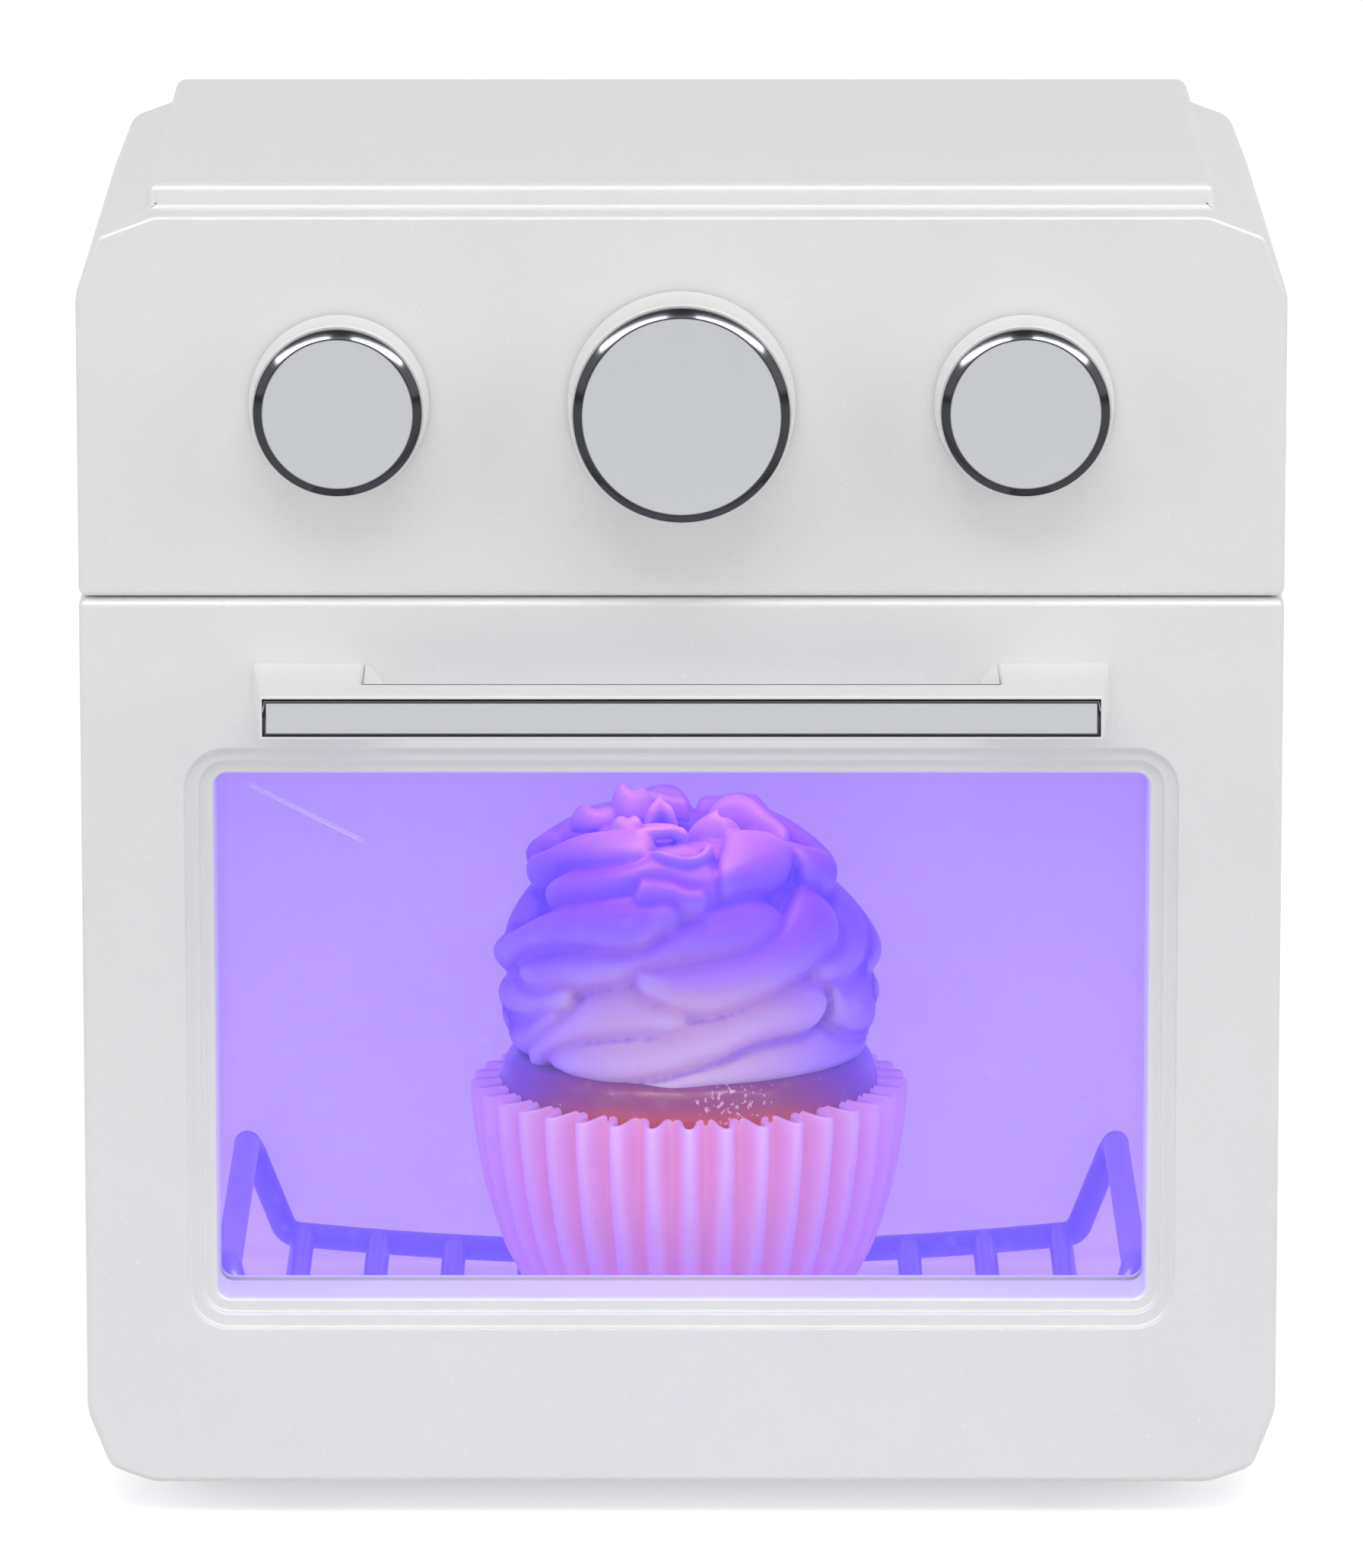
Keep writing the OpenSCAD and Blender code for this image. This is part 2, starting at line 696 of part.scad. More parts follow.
// Right side rail and its two risers in one sloping plane, with the bends at their ends
module rack_rail() {
    low = norm(foot_bend - [rack_foot_x, rack_end_z] - foot_bend_r * rail_in) - rack_lap;
    high = norm([rail_out, rail_up]) - rack_bend;
    for (y = [rack_y0, rack_y1]) translate([foot_bend.x, y, foot_bend.y])
        rotate([90, 0, 0]) rotate(-rail_lean) mirror([0, 1, 0]) rack_turn(foot_bend_r, foot_turn);
    translate([rack_foot_x, 0, rack_end_z]) rotate([0, rail_lean, 0]) {
        bar([0, rack_y0 + rack_bend - rack_lap, high + rack_bend],
            [0, rack_y1 - rack_bend + rack_lap, high + rack_bend], rack_d);
        for (end = [[rack_y0, -1], [rack_y1, 1]]) translate([0, end.x, 0]) {
            translate([0, 0, low]) cylinder(h = high - low + rack_lap, d = rack_d);
            translate([0, -end.y * rack_bend, high]) rotate([90, 0, end.y * 90])
                rack_turn(rack_bend, 90);
        }
    }
}

// Lamp, switch and batteries

module lamp_lens() {
    color("#E3D8FF", 0.8) placed() {
        block([-lens_w / 2 + 0.05, lens_y - lens_d / 2 + 0.05, cav_z1],
            [lens_w / 2 - 0.05, lens_y + lens_d / 2 - 0.05, roof_z + eps]);
        difference() {
            block([-lens_w / 2 - lens_lip, lens_y - lens_d / 2 - lens_lip, roof_z],
                [lens_w / 2 + lens_lip, lens_y + lens_d / 2 + lens_lip, roof_z + lens_lip]);
            for (side = [-1, 1]) translate([side * lamp_post_x, lens_y, roof_z - past])
                cylinder(h = lens_lip + 2 * past, d = boss_d + 0.2);
        }
    }
}

module lamp_leds() {
    color("#B99CFF") placed() for (i = [-1:1])
        translate([i * led_pitch, lens_y, lamp_board_z - led_h + led_d / 2]) {
            cylinder(h = led_h - led_d / 2, d = led_d);
            sphere(d = led_d);
        }
}

module lamp_board() {
    color("#2F7D4F") placed() difference() {
        block([-lamp_board_x, lens_y - lamp_board_d / 2, lamp_board_z],
            [lamp_board_x, lens_y + lamp_board_d / 2, lamp_board_z + board_t]);
        for (side = [-1, 1]) translate([side * lamp_post_x, lens_y, lamp_board_z - past])
            cylinder(h = board_t + 2 * past, d = screw_d + 0.1);
    }
}

module light_switch() {
    color("#2B2C30") placed() difference() {
        block([-4.5, switch_y, knob_z - 4.5], [4.5, switch_board_y, knob_z + 4.5]);
        rod_y(0, knob_z, shaft_d + 2 * shaft_clear, switch_y - past, switch_board_y + past);
    }
}

module switch_board() {
    color("#2F7D4F") placed() difference() {
        block([-switch_board_x, switch_board_y, knob_z - 8.5],
            [switch_board_x, switch_board_y + board_t, knob_z + 8.5]);
        rod_y(0, knob_z, shaft_d + 0.4, switch_board_y - past, switch_board_y + board_t + past);
        for (side = [-1, 1])
            rod_y(side * switch_post_x, knob_z + side * switch_post_z, screw_d + 0.1,
                switch_board_y - past, switch_board_y + board_t + past);
    }
}

module board_screws() {
    color(grey) placed() for (side = [-1, 1]) {
        screw_back(side * switch_post_x, switch_board_y + board_t,
            knob_z + side * switch_post_z, board_t + 2);
        translate([side * lamp_post_x, lens_y, lamp_board_z + board_t]) screw(board_t + 1.6);
    }
}

module battery_box() {
    color(white) placed() difference() {
        union() {
            block([-box_x, box_y, box_z0], [box_x, cover_y, box_z1]);
            for (side = [-1, 1]) block([side > 0 ? box_x - eps : -box_x - 4, cover_y - 2, ear_peg_z - 2],
                [side > 0 ? box_x + 4 : -box_x + eps, cover_y, ear_peg_z + 2]);
        }
        block([-box_x + box_wall, box_y + box_wall, box_z0 + box_wall],
            [box_x - box_wall, cover_y + past, box_z1 - box_wall]);
        for (side = [-1, 1])
            rod_y(side * ear_peg_x, ear_peg_z, 2.1, cover_y - 2 - past, cover_y + past);
        for (z = cell_z)
            block([box_x - box_wall - contact_t - 0.1, box_y - past, z - 1.1],
                [box_x - box_wall + eps, box_y + box_wall + past, z + 1.1]);
    }
}

module battery_cells() {
    nub = 0.8;
    color("#7F8C99") placed() for (i = [0, 1]) {
        x0 = i == 0 ? -cell_l / 2 : -cell_l / 2 + nub;
        rod_x(cell_y, cell_z[i], cell_d, x0, x0 + cell_l - nub);
        nub_x = i == 0 ? cell_l / 2 - nub - eps : -cell_l / 2;
        rod_x(cell_y, cell_z[i], 3.8, nub_x, nub_x + nub + eps);
    }
}

module battery_contacts() {
    plate_x = box_x - box_wall - contact_t;
    reach = plate_x - cell_l / 2;
    color("#C8B273") placed() {
        block([-plate_x - contact_t, cell_y - 3, cell_z[0] - 3],
            [-plate_x, cell_y + 3, cell_z[1] + 3]);
        translate([-plate_x, cell_y, cell_z[0]]) rotate([0, 90, 0])
            cylinder(h = reach, r1 = 3, r2 = 2);
        rod_x(cell_y, cell_z[1], 3, -plate_x - eps, -plate_x + reach);
        for (i = [0, 1]) {
            block([plate_x, cell_y - 3, cell_z[i] - 3], [plate_x + contact_t, cell_y + 3, cell_z[i] + 3]);
            block([plate_x, tongue_y, cell_z[i] - 1],
                [plate_x + contact_t, cell_y, cell_z[i] + 1]);
        }
        rod_x(cell_y, cell_z[0], 3, plate_x - reach, plate_x + eps);
        translate([plate_x, cell_y, cell_z[1]]) rotate([0, -90, 0])
            cylinder(h = reach, r1 = 3, r2 = 2);
    }
}

module battery_hatch() {
    color(white) placed() difference() {
        union() {
            block([-box_x + hatch_play, body_d - hatch_t, box_z0 + hatch_play],
                [box_x + hatch_ear - hatch_play, body_d, box_z1 - 0.3 - hatch_play]);
            block([-box_x + box_wall + hatch_play, cover_y, box_z0 + box_wall + hatch_play],
                [box_x - box_wall - hatch_play, body_d - hatch_t + eps,
                    box_z1 - box_wall - hatch_play]);
        }
        rod_y(hatch_screw_x, box_mid_z, screw_d + 0.1, body_d - 3, body_d + past);
        rod_y(hatch_screw_x, box_mid_z, screw_head_d + 0.2, body_d - screw_head_h, body_d + past);
    }
}

module battery_hatch_screw() {
    color(grey) placed() screw_back(hatch_screw_x, body_d - screw_head_h, box_mid_z, 4);
}

module battery_wires() {
    x = box_x - box_wall - contact_t / 2;
    color("#B8312F") placed() for (i = [0, 1]) {
        z = knob_z + (i == 0 ? -5 : 3);
        bent_bar([
            [x, tongue_y, cell_z[i]],
            [x, tongue_y - 6, cell_z[i]],
            [8, switch_board_y + board_t + 7, z],
            [8, switch_board_y + board_t, z]
        ], wire_d, wire_joint);
    }
}

module lamp_wires() {
    top = lamp_board_z + board_t;
    back = switch_board_y + board_t;
    color("#2C2C2E") placed() for (i = [0, 1]) bent_bar([
        [-8 + 3 * i, back, knob_z - 4],
        [-8 + 3 * i, back + 4, knob_z - 4],
        [-6 + 3 * i, lens_y + 0.5, top + 5],
        [-6 + 3 * i, lens_y + 0.5, top]
    ], wire_d, wire_joint);
}

// Door

module door_panel() {
    color(white) placed() difference() {
        union() {
            difference() {
                slab(0, sill_y) band(door_bottom_z, door_top_z) polygon(outline);
                slab(door_skin, sill_y + past)
                    band(door_bottom_z + door_wall, door_top_z - door_wall)
                        polygon(inset(outline, door_wall));
            }
            slab(eps, sill_y) round_window(win_x + door_wall, win_z0 - door_wall,
                win_z1 + door_wall, window_r + door_wall);
            for (side = [-1, 1]) {
                for (z = door_screw_z)
                    rod_y(side * door_screw_x, z, boss_d, door_skin - eps, sill_y);
                for (edge = [-1, 1]) hinge_lug(side * hinge_x + edge * (lug_x + lug_w / 2));
            }
        }
        slab(-past, sill_y + past) round_window(win_x, win_z0, win_z1, window_r);
        for (i = [1, 2]) slab(-past, recess_depth * i / 2)
            round_window(win_x + recess_w / i, win_z0 - recess_w / i, win_z1 + recess_w / i,
                window_r + recess_w / i);
        for (side = [-1, 1]) {
            arm_notch(side * hinge_x, door_bottom_z + door_wall + eps);
            for (z = door_screw_z)
                rod_y(side * door_screw_x, z, screw_d, door_skin + 0.4, sill_y + past);
            rod_y(side * handle_foot_x, handle_z, screw_d + 0.1, -past, door_skin + past);
        }
        rod_x(hinge_back, hinge_z(), pin_d, -half_w + 2 * door_wall, half_w - 2 * door_wall);
    }
}

// Ear on the door that a hinge pin is pressed into
module hinge_lug(x) {
    rod_x(hinge_back, hinge_z(), barrel_d, x - lug_w / 2, x + lug_w / 2);
    block([x - lug_w / 2, door_skin - eps, hinge_z() - barrel_d / 2],
        [x + lug_w / 2, hinge_back, hinge_z() + barrel_d / 2]);
}

// Space in the door's lower edge for a hinge arm
module arm_notch(x, top) {
    block([x - lug_x, door_skin, door_bottom_z - past], [x + lug_x, door_t + past, top]);
}

module door_inner_frame() {
    color(white) placed() difference() {
        slab(sill_y, door_t) band(frame_bottom_z, door_top_z - frame_inset)
            polygon(inset(outline, frame_inset));
        slab(sill_y - past, door_t + past) round_window(win_x, win_z0, win_z1, window_r);
        slab(sill_y - past, sill_y + pane_t) round_window(win_x + pane_lap + 0.1,
            win_z0 - pane_lap - 0.1, win_z1 + pane_lap + 0.1, window_r + pane_lap);
        for (side = [-1, 1]) {
            arm_notch(side * hinge_x, hinge_z() + barrel_d / 2);
            for (z = door_screw_z) {
                rod_y(side * door_screw_x, z, screw_d + 0.1, sill_y - past, door_t + past);
                rod_y(side * door_screw_x, z, screw_head_d + 0.2,
                    door_t - screw_head_h, door_t + past);
            }
        }
    }
}

module window_pane() {
    color("#D9D4E6", 0.35) placed() slab(sill_y, sill_y + pane_t)
        round_window(win_x + pane_lap, win_z0 - pane_lap, win_z1 + pane_lap, window_r + pane_lap);
}

module door_screws() {
    color(grey) placed() for (side = [-1, 1], z = door_screw_z)
        screw_back(side * door_screw_x, door_t - screw_head_h, z, 3.6);
}

module hinge_pin(side) {
    color(grey) placed() rod_x(hinge_back, hinge_z(), pin_d,
        side * hinge_x - lug_x - lug_w, side * hinge_x + lug_x + lug_w);
}

module left_hinge_pin() { hinge_pin(-1); }
module right_hinge_pin() { hinge_pin(1); }

module handle() {
    bar_x = handle_w / 2;
    outer_x = bar_x + handle_flare;
    inner_x = outer_x - handle_foot_w;
    front = trim_t - trim_pocket - handle_reach;
    back = front + bar_t;
    z0 = handle_z - bar_h / 2;
    z1 = handle_z + bar_h / 2;
    color(white) placed() difference() {
        union() {
            translate([0, 0, z0]) linear_extrude(bar_h) polygon([
                [outer_x, 0], [inner_x, 0], [inner_x, back], [-inner_x, back], [-inner_x, 0],
                [-outer_x, 0], [-bar_x, front], [bar_x, front]
            ]);
            for (side = [-1, 1]) slab(back - eps, 0) polygon([
                [side * (inner_x + eps), z0], [side * (inner_x - shoulder_w), z0],
                [side * (inner_x - shoulder_w), z1 - 0.4 * bar_h],
                [side * (inner_x - shoulder_w / 2), z1 - 0.2 * bar_h],
                [side * (inner_x + eps), z1]
            ]);
        }
        slab(front - past, front + trim_pocket) translate([-bar_x + trim_margin, z0 + trim_margin])
            square([2 * (bar_x - trim_margin), bar_h - 2 * trim_margin]);
        for (side = [-1, 1]) rod_y(side * handle_foot_x, handle_z, screw_d, -4.4, past);
    }
}

module handle_trim() {
    half = handle_w / 2 - trim_margin;
    color(chrome) placed() slab(-handle_reach, trim_t - handle_reach)
        translate([-half, handle_z - bar_h / 2 + trim_margin])
            square([2 * half, bar_h - 2 * trim_margin]);
}

module handle_screws() {
    color(grey) placed() for (side = [-1, 1])
        screw_back(side * handle_foot_x, door_skin, handle_z, door_skin + 4);
}

// Knobs

// Knob body, its axis along Z with the control panel's face at zero
module knob(x, d, reach, shaft_l) {
    color(white) placed() translate([x, 0, knob_z]) rotate([90, 0, 0]) difference() {
        union() {
            translate([0, 0, knob_gap])
                cylinder(h = reach - cap_t - knob_gap, r1 = d / 2, r2 = d / 2 - knob_taper);
            translate([0, 0, -shaft_l]) cylinder(h = shaft_l + knob_gap + eps, d = shaft_d);
        }
        translate([0, 0, reach - cap_t - 1.5]) cylinder(h = 1.5 + past, d = 2);
        translate([0, 0, -shaft_l - past]) cylinder(h = 2.6 + past, d = screw_d);
    }
}

module knob_cap(x, d, reach) {
    r = d / 2 - knob_taper - cap_step;
    color(chrome) placed() translate([x, 0, knob_z]) rotate([90, 0, 0]) {
        translate([0, 0, reach - cap_t]) cylinder(h = cap_t * 0.6, r = r);
        translate([0, 0, reach - cap_t * 0.4]) cylinder(h = cap_t * 0.4, r1 = r, r2 = r - cap_t * 0.4);
        translate([0, 0, reach - cap_t - 1.4]) cylinder(h = 1.4 + eps, d = 2);
    }
}

// Screw whose wide head keeps a knob in the control panel
module knob_screw(x, shaft_l) {
    color(grey) placed() translate([x, shaft_l, knob_z]) rotate([-90, 0, 0])
        screw(2.4, shaft_d + 2.4, screw_head_h);
}

side_shaft = panel_t + 0.1;
centre_shaft = switch_board_y + board_t + 0.1;

module left_knob() { knob(-knob_spacing, side_knob_d, side_knob_reach, side_shaft); }
module centre_knob() { knob(0, centre_knob_d, centre_knob_reach, centre_shaft); }
module right_knob() { knob(knob_spacing, side_knob_d, side_knob_reach, side_shaft); }
module left_knob_cap() { knob_cap(-knob_spacing, side_knob_d, side_knob_reach); }
module centre_knob_cap() { knob_cap(0, centre_knob_d, centre_knob_reach); }
module right_knob_cap() { knob_cap(knob_spacing, side_knob_d, side_knob_reach); }
module left_knob_screw() { knob_screw(-knob_spacing, side_shaft); }
module centre_knob_screw() { knob_screw(0, centre_shaft); }
module right_knob_screw() { knob_screw(knob_spacing, side_shaft); }

// Cupcake

// Radius of the case's crests at a height
function case_r(z) = z < case_mid_z
    ? case_r0 + (case_r1 - case_r0) * (z - case_z) / (case_mid_z - case_z)
    : case_r1 + (case_r2 - case_r1) * (z - case_mid_z) / (rim_z - case_mid_z);

// Ring of flutes, four points to a flute
function flute_ring(r, z) = [
    for (i = [0:4 * flutes - 1])
        let (a = 90 * i / flutes, s = r - flute_depth / 2 + flute_depth / 2 * sin(90 * i))
        [s * cos(a), s * sin(a), z]
];

module cupcake_case() {
    floor_z = case_z + case_wall;
    color("#E3C2EA") placed() translate([cup_x, cup_y, 0]) loft([
        flute_ring(case_r0, case_z),
        flute_ring(case_r1, case_mid_z),
        flute_ring(case_r2, rim_z),
        flute_ring(case_r2 - case_wall, rim_z),
        flute_ring(case_r1 - case_wall, case_mid_z),
        flute_ring(case_r(floor_z) - case_wall, floor_z)
    ]);
}

module cupcake_cake() {
    z0 = case_z + case_wall + cake_play;
    edge = flute_depth + case_wall + 2 * cake_play;
    shoulder_z = rim_z - 0.4;
    color("#B4698F") placed() translate([cup_x, cup_y, 0]) rotate_extrude() polygon([
        [0, z0], [case_r(z0) - edge, z0], [case_r1 - edge, case_mid_z],
        [case_r(shoulder_z) - edge, shoulder_z],
        [(case_r(shoulder_z) - edge + cake_r) / 2 + 0.5, (shoulder_z + cake_z) / 2 + 0.5],
        [cake_r, cake_z], [0, cake_z]
    ]);
}

// Height and radius of the icing, each as a share of its height and largest radius
icing_profile = [
    [0, 0.84], [0.05, 0.93], [0.15, 0.98], [0.28, 1], [0.38, 0.95], [0.44, 0.89], [0.5, 0.92],
    [0.6, 0.94], [0.7, 0.9], [0.8, 0.8], [0.9, 0.66], [0.97, 0.52], [1, 0.4], [0.95, 0.28],
    [0.86, 0.16]
];

// Ring of the icing, its ribs leaning along the swirl
function icing_ring(share, r_share, points = 63) = [
    for (i = [0:points - 1])
        let (
            a = 360 * i / points,
            lean = icing_ribs * (a - icing_twist * share),
            rib = 0.5 + 0.5 * sin(lean + 35 * sin(lean)),
            r = icing_r * r_share - rib_depth * r_share * (1 - rib)
        )
        [r * cos(a), r * sin(a), cake_z + icing_h * share]
];

module cupcake_icing() {
    color("#B79CE8") placed() translate([cup_x, cup_y, 0])
        loft([for (p = icing_profile) icing_ring(p[0], p[1])]);
}

outer_shell();
base_tray();
rear_cover();
control_panel();
cavity_liner();
front_left_foot();
front_right_foot();
rear_left_foot();
rear_right_foot();
battery_box();
battery_cells();
battery_contacts();
battery_hatch();
lamp_board();
lamp_leds();
lamp_lens();
switch_board();
light_switch();
battery_wires();
lamp_wires();
rear_cover_screws();
battery_hatch_screw();
base_screws();
panel_screws();
liner_screws();
board_screws();
door_panel();
door_inner_frame();
window_pane();
door_screws();
left_hinge_pin();
right_hinge_pin();
handle();
handle_trim();
handle_screws();
left_knob();
left_knob_cap();
left_knob_screw();
centre_knob();
centre_knob_cap();
centre_knob_screw();
right_knob();
right_knob_cap();
right_knob_screw();
wire_rack();
cupcake_case();
cupcake_cake();
cupcake_icing();
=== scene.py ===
# %% [markdown]
# # A toy oven with a cupcake, dressed for its portrait
# The construction comes from a CAD model that is already packed, with every piece at its real size.
# This lesson gives those pieces their looks. Hard plastic pieces are copied and get the small radii
# that a mould leaves on every edge. Turned pieces, such as the knobs, are spun again from finer
# profiles, and the cupcake is modelled in full.

# %% Load the frame
import json
import math

import bmesh
import bpy
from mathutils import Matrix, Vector, noise
from mathutils.bvhtree import BVHTree


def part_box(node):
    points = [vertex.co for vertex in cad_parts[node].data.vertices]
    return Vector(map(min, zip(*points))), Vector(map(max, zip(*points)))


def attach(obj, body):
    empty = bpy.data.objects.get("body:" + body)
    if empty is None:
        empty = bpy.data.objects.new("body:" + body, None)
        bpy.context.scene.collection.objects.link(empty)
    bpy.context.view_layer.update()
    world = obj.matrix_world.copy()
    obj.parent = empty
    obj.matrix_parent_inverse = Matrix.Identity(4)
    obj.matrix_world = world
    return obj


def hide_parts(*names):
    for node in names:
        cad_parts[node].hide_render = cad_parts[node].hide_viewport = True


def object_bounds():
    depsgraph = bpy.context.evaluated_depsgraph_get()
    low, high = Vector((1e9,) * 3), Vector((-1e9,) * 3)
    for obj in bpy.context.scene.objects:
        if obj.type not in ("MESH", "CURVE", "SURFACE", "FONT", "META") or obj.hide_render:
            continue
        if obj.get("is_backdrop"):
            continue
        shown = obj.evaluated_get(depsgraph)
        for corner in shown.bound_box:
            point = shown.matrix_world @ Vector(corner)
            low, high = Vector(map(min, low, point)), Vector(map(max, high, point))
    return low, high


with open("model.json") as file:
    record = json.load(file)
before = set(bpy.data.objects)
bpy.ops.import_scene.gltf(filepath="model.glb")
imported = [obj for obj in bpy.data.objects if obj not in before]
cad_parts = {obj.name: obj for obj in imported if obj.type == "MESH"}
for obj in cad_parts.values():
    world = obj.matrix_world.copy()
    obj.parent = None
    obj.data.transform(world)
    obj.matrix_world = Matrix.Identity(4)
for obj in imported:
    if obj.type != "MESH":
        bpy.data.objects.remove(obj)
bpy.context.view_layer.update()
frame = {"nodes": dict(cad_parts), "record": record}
MM = 0.001

# %% [markdown]
# ## Measures
# The pieces are placed from the boxes of the CAD nodes. The short names below are the planes that
# the other cells need again and again: the front of the panel, the back and the side of the shell,
# and the ledge under the plateau.

# %% Planes of the casing
panel_low, panel_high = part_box("control_panel")
shell_low, shell_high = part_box("outer_shell")
door_low, door_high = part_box("door_panel")
tray_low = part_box("base_tray")[0]
liner_low, liner_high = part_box("cavity_liner")
front_y = panel_low.y
rear_y = shell_high.y
side_x = shell_high.x
ledge_z = panel_high.z
print("front", round(front_y / MM, 2), "rear", round(rear_y / MM, 2), "ledge", round(ledge_z / MM, 2))

# %% [markdown]
# ## Colour and nodes
# Colours are picked as they look on a screen, so they are written as hex values and turned to the
# linear values that the shaders count in. One helper adds a node, sets it and links it, which
# keeps each material a short list of what it is made of.

# %% Helpers for materials
def linear(code):
    """Linear RGBA of a colour written as #RRGGBB."""
    parts = [int(code[i : i + 2], 16) / 255 for i in (1, 3, 5)]
    return [p / 12.92 if p <= 0.04045 else ((p + 0.055) / 1.055) ** 2.4 for p in parts] + [1]


def add(tree, kind, inputs=None, **settings):
    """Adds a node, sets its properties, and fills its inputs with values or links."""
    node = tree.nodes.new(kind)
    for name, value in settings.items():
        setattr(node, name, value)
    for name, value in (inputs or {}).items():
        if isinstance(value, bpy.types.NodeSocket):
            tree.links.new(value, node.inputs[name])
        else:
            node.inputs[name].default_value = value
    return node


def mixed(tree, share, first, second):
    """Two colours, each a value or a socket, mixed by a share from 0 to 1."""
    return add(tree, "ShaderNodeMix", {0: share, 6: first, 7: second}, data_type="RGBA").outputs[2]


def start(name):
    """A new material with an empty tree, its coordinates and its output."""
    material = bpy.data.materials.new(name)
    material.use_nodes = True
    tree = material.node_tree
    tree.nodes.clear()
    place = add(tree, "ShaderNodeTexCoord").outputs["Object"]
    return material, tree, place


def finish(tree, shader):
    """Links a finished shader to the material's output."""
    add(tree, "ShaderNodeOutputMaterial", {"Surface": shader.outputs[0]})


# %% [markdown]
# ## White pearl ABS
# The casing, door, knobs and handle are injection moulded ABS with a little pearl pigment. The eye
# sees a warm white that is not quite even, with fine bright flecks, and a satin surface. The
# mottling is a slow noise of about 9 mm, the flecks are a fast one of about 0.25 mm, coarser than
# real pigment so that they show, and a faint bump breaks up the reflections.

# %% Pearl ABS
def pearl_abs():
    material, tree, place = start("moulded_pearl_abs")
    cloud = add(tree, "ShaderNodeTexNoise", {"Vector": place, "Scale": 1 / (9 * MM), "Detail": 3})
    fleck = add(tree, "ShaderNodeTexNoise", {"Vector": place, "Scale": 1 / (0.25 * MM), "Detail": 2})
    base = mixed(tree, cloud.outputs["Fac"], linear("#E6E6E5"), linear("#ECECEB"))
    spark = add(tree, "ShaderNodeMapRange", {
        "Value": fleck.outputs["Fac"], "From Min": 0.66, "From Max": 0.74, "To Max": 0.5})
    tone = mixed(tree, spark.outputs["Result"], base, linear("#FBFAF8"))
    rough = add(tree, "ShaderNodeMapRange", {
        "Value": cloud.outputs["Fac"], "To Min": 0.34, "To Max": 0.44})
    bump = add(tree, "ShaderNodeBump", {
        "Height": fleck.outputs["Fac"], "Strength": 0.12, "Distance": 0.02 * MM})
    finish(tree, add(tree, "ShaderNodeBsdfPrincipled", {
        "Base Color": tone, "Roughness": rough.outputs["Result"],
        "IOR": 1.53, "Normal": bump.outputs["Normal"]}))
    return material


white_plastic = pearl_abs()

# %% [markdown]
# ## Metallised plastic
# The knob caps and the handle trim are ABS with a film of aluminium deposited in a vacuum under
# clear lacquer. It mirrors its surroundings, a little greyer and softer than solid chrome. Its steep
# edges get a dark base colour, a painted dark reflection. An attribute of the mesh, rim, says where those
# are.

# %% Metallised ABS
def metallised_abs():
    material, tree, place = start("vacuum_metallised_abs")
    haze = add(tree, "ShaderNodeTexNoise", {"Vector": place, "Scale": 1 / (3 * MM), "Detail": 4})
    rough = add(tree, "ShaderNodeMapRange", {
        "Value": haze.outputs["Fac"], "To Min": 0.1, "To Max": 0.16})
    bump = add(tree, "ShaderNodeBump", {
        "Height": haze.outputs["Fac"], "Strength": 0.05, "Distance": 0.02 * MM})
    # rim: steep edges, where the base colour is darkened into a painted dark reflection
    rim = add(tree, "ShaderNodeAttribute", attribute_name="rim").outputs["Fac"]
    finish(tree, add(tree, "ShaderNodeBsdfPrincipled", {
        "Base Color": mixed(tree, rim, linear("#B2B3B6"), linear("#3A3B3E")), "Metallic": 1.0,
        "Roughness": rough.outputs["Result"], "Normal": bump.outputs["Normal"]}))
    return material


chrome = metallised_abs()

# %% [markdown]
# ## The lit cavity
# The liner is white plastic under a violet lamp, so it glows rather than shows its own colour. A
# pale base with a modest emission keeps that glow in any other light. The emission is one strength
# all over, a deep violet under the ceiling and a paler, pinker one towards the floor.

# %% Cavity plastics
GLOW_FLOOR = 5
GLOW_CEILING = 46


def glowing_plastic(name, colour, glow, strength, roughness, grain, low_glow=None):
    """Plastic in violet light: a base tinted by it, an emitted glow and a fine mottling; the glow is painted
    lamp light except in lens and LED.
    """
    material, tree, place = start(name)
    glow_tone = linear(glow)
    if low_glow:
        height = add(tree, "ShaderNodeSeparateXYZ", {"Vector": place}).outputs["Z"]
        upward = add(tree, "ShaderNodeMapRange", {
            "Value": height, "From Min": GLOW_FLOOR * MM, "From Max": GLOW_CEILING * MM})
        glow_tone = mixed(tree, upward.outputs["Result"], linear(low_glow), glow_tone)
    cloud = add(tree, "ShaderNodeTexNoise", {"Vector": place, "Scale": 1 / (grain * MM), "Detail": 3})
    tint = add(tree, "ShaderNodeHueSaturation", {
        "Color": linear(colour),
        "Value": add(tree, "ShaderNodeMapRange", {
            "Value": cloud.outputs["Fac"], "To Min": 0.93, "To Max": 1.05}).outputs["Result"]})
    bump = add(tree, "ShaderNodeBump", {
        "Height": cloud.outputs["Fac"], "Strength": 0.1, "Distance": 0.05 * MM})
    finish(tree, add(tree, "ShaderNodeBsdfPrincipled", {
        "Base Color": tint.outputs["Color"], "Roughness": roughness, "IOR": 1.5,
        "Emission Color": glow_tone, "Emission Strength": strength,
        "Normal": bump.outputs["Normal"]}))
    return material


# Liner and rack: the violet tint and the emission are painted lamp light, the liner's paler towards the
# floor. The lens and the LED are the lamp itself.
liner_plastic = glowing_plastic("violet_lit_liner", "#C8C4FC", "#9C7AFF", 0.4, 0.4, 6, low_glow="#DEBAFF")
rack_plastic = glowing_plastic("violet_lit_rack", "#8C74EC", "#7858FF", 0.14, 0.32, 3)
lens_plastic = glowing_plastic("frosted_lens", "#E6DCFF", "#B79BFF", 2.5, 0.5, 2)
led_resin = glowing_plastic("violet_led_resin", "#C9B2FF", "#A080FF", 3.0, 0.2, 2)
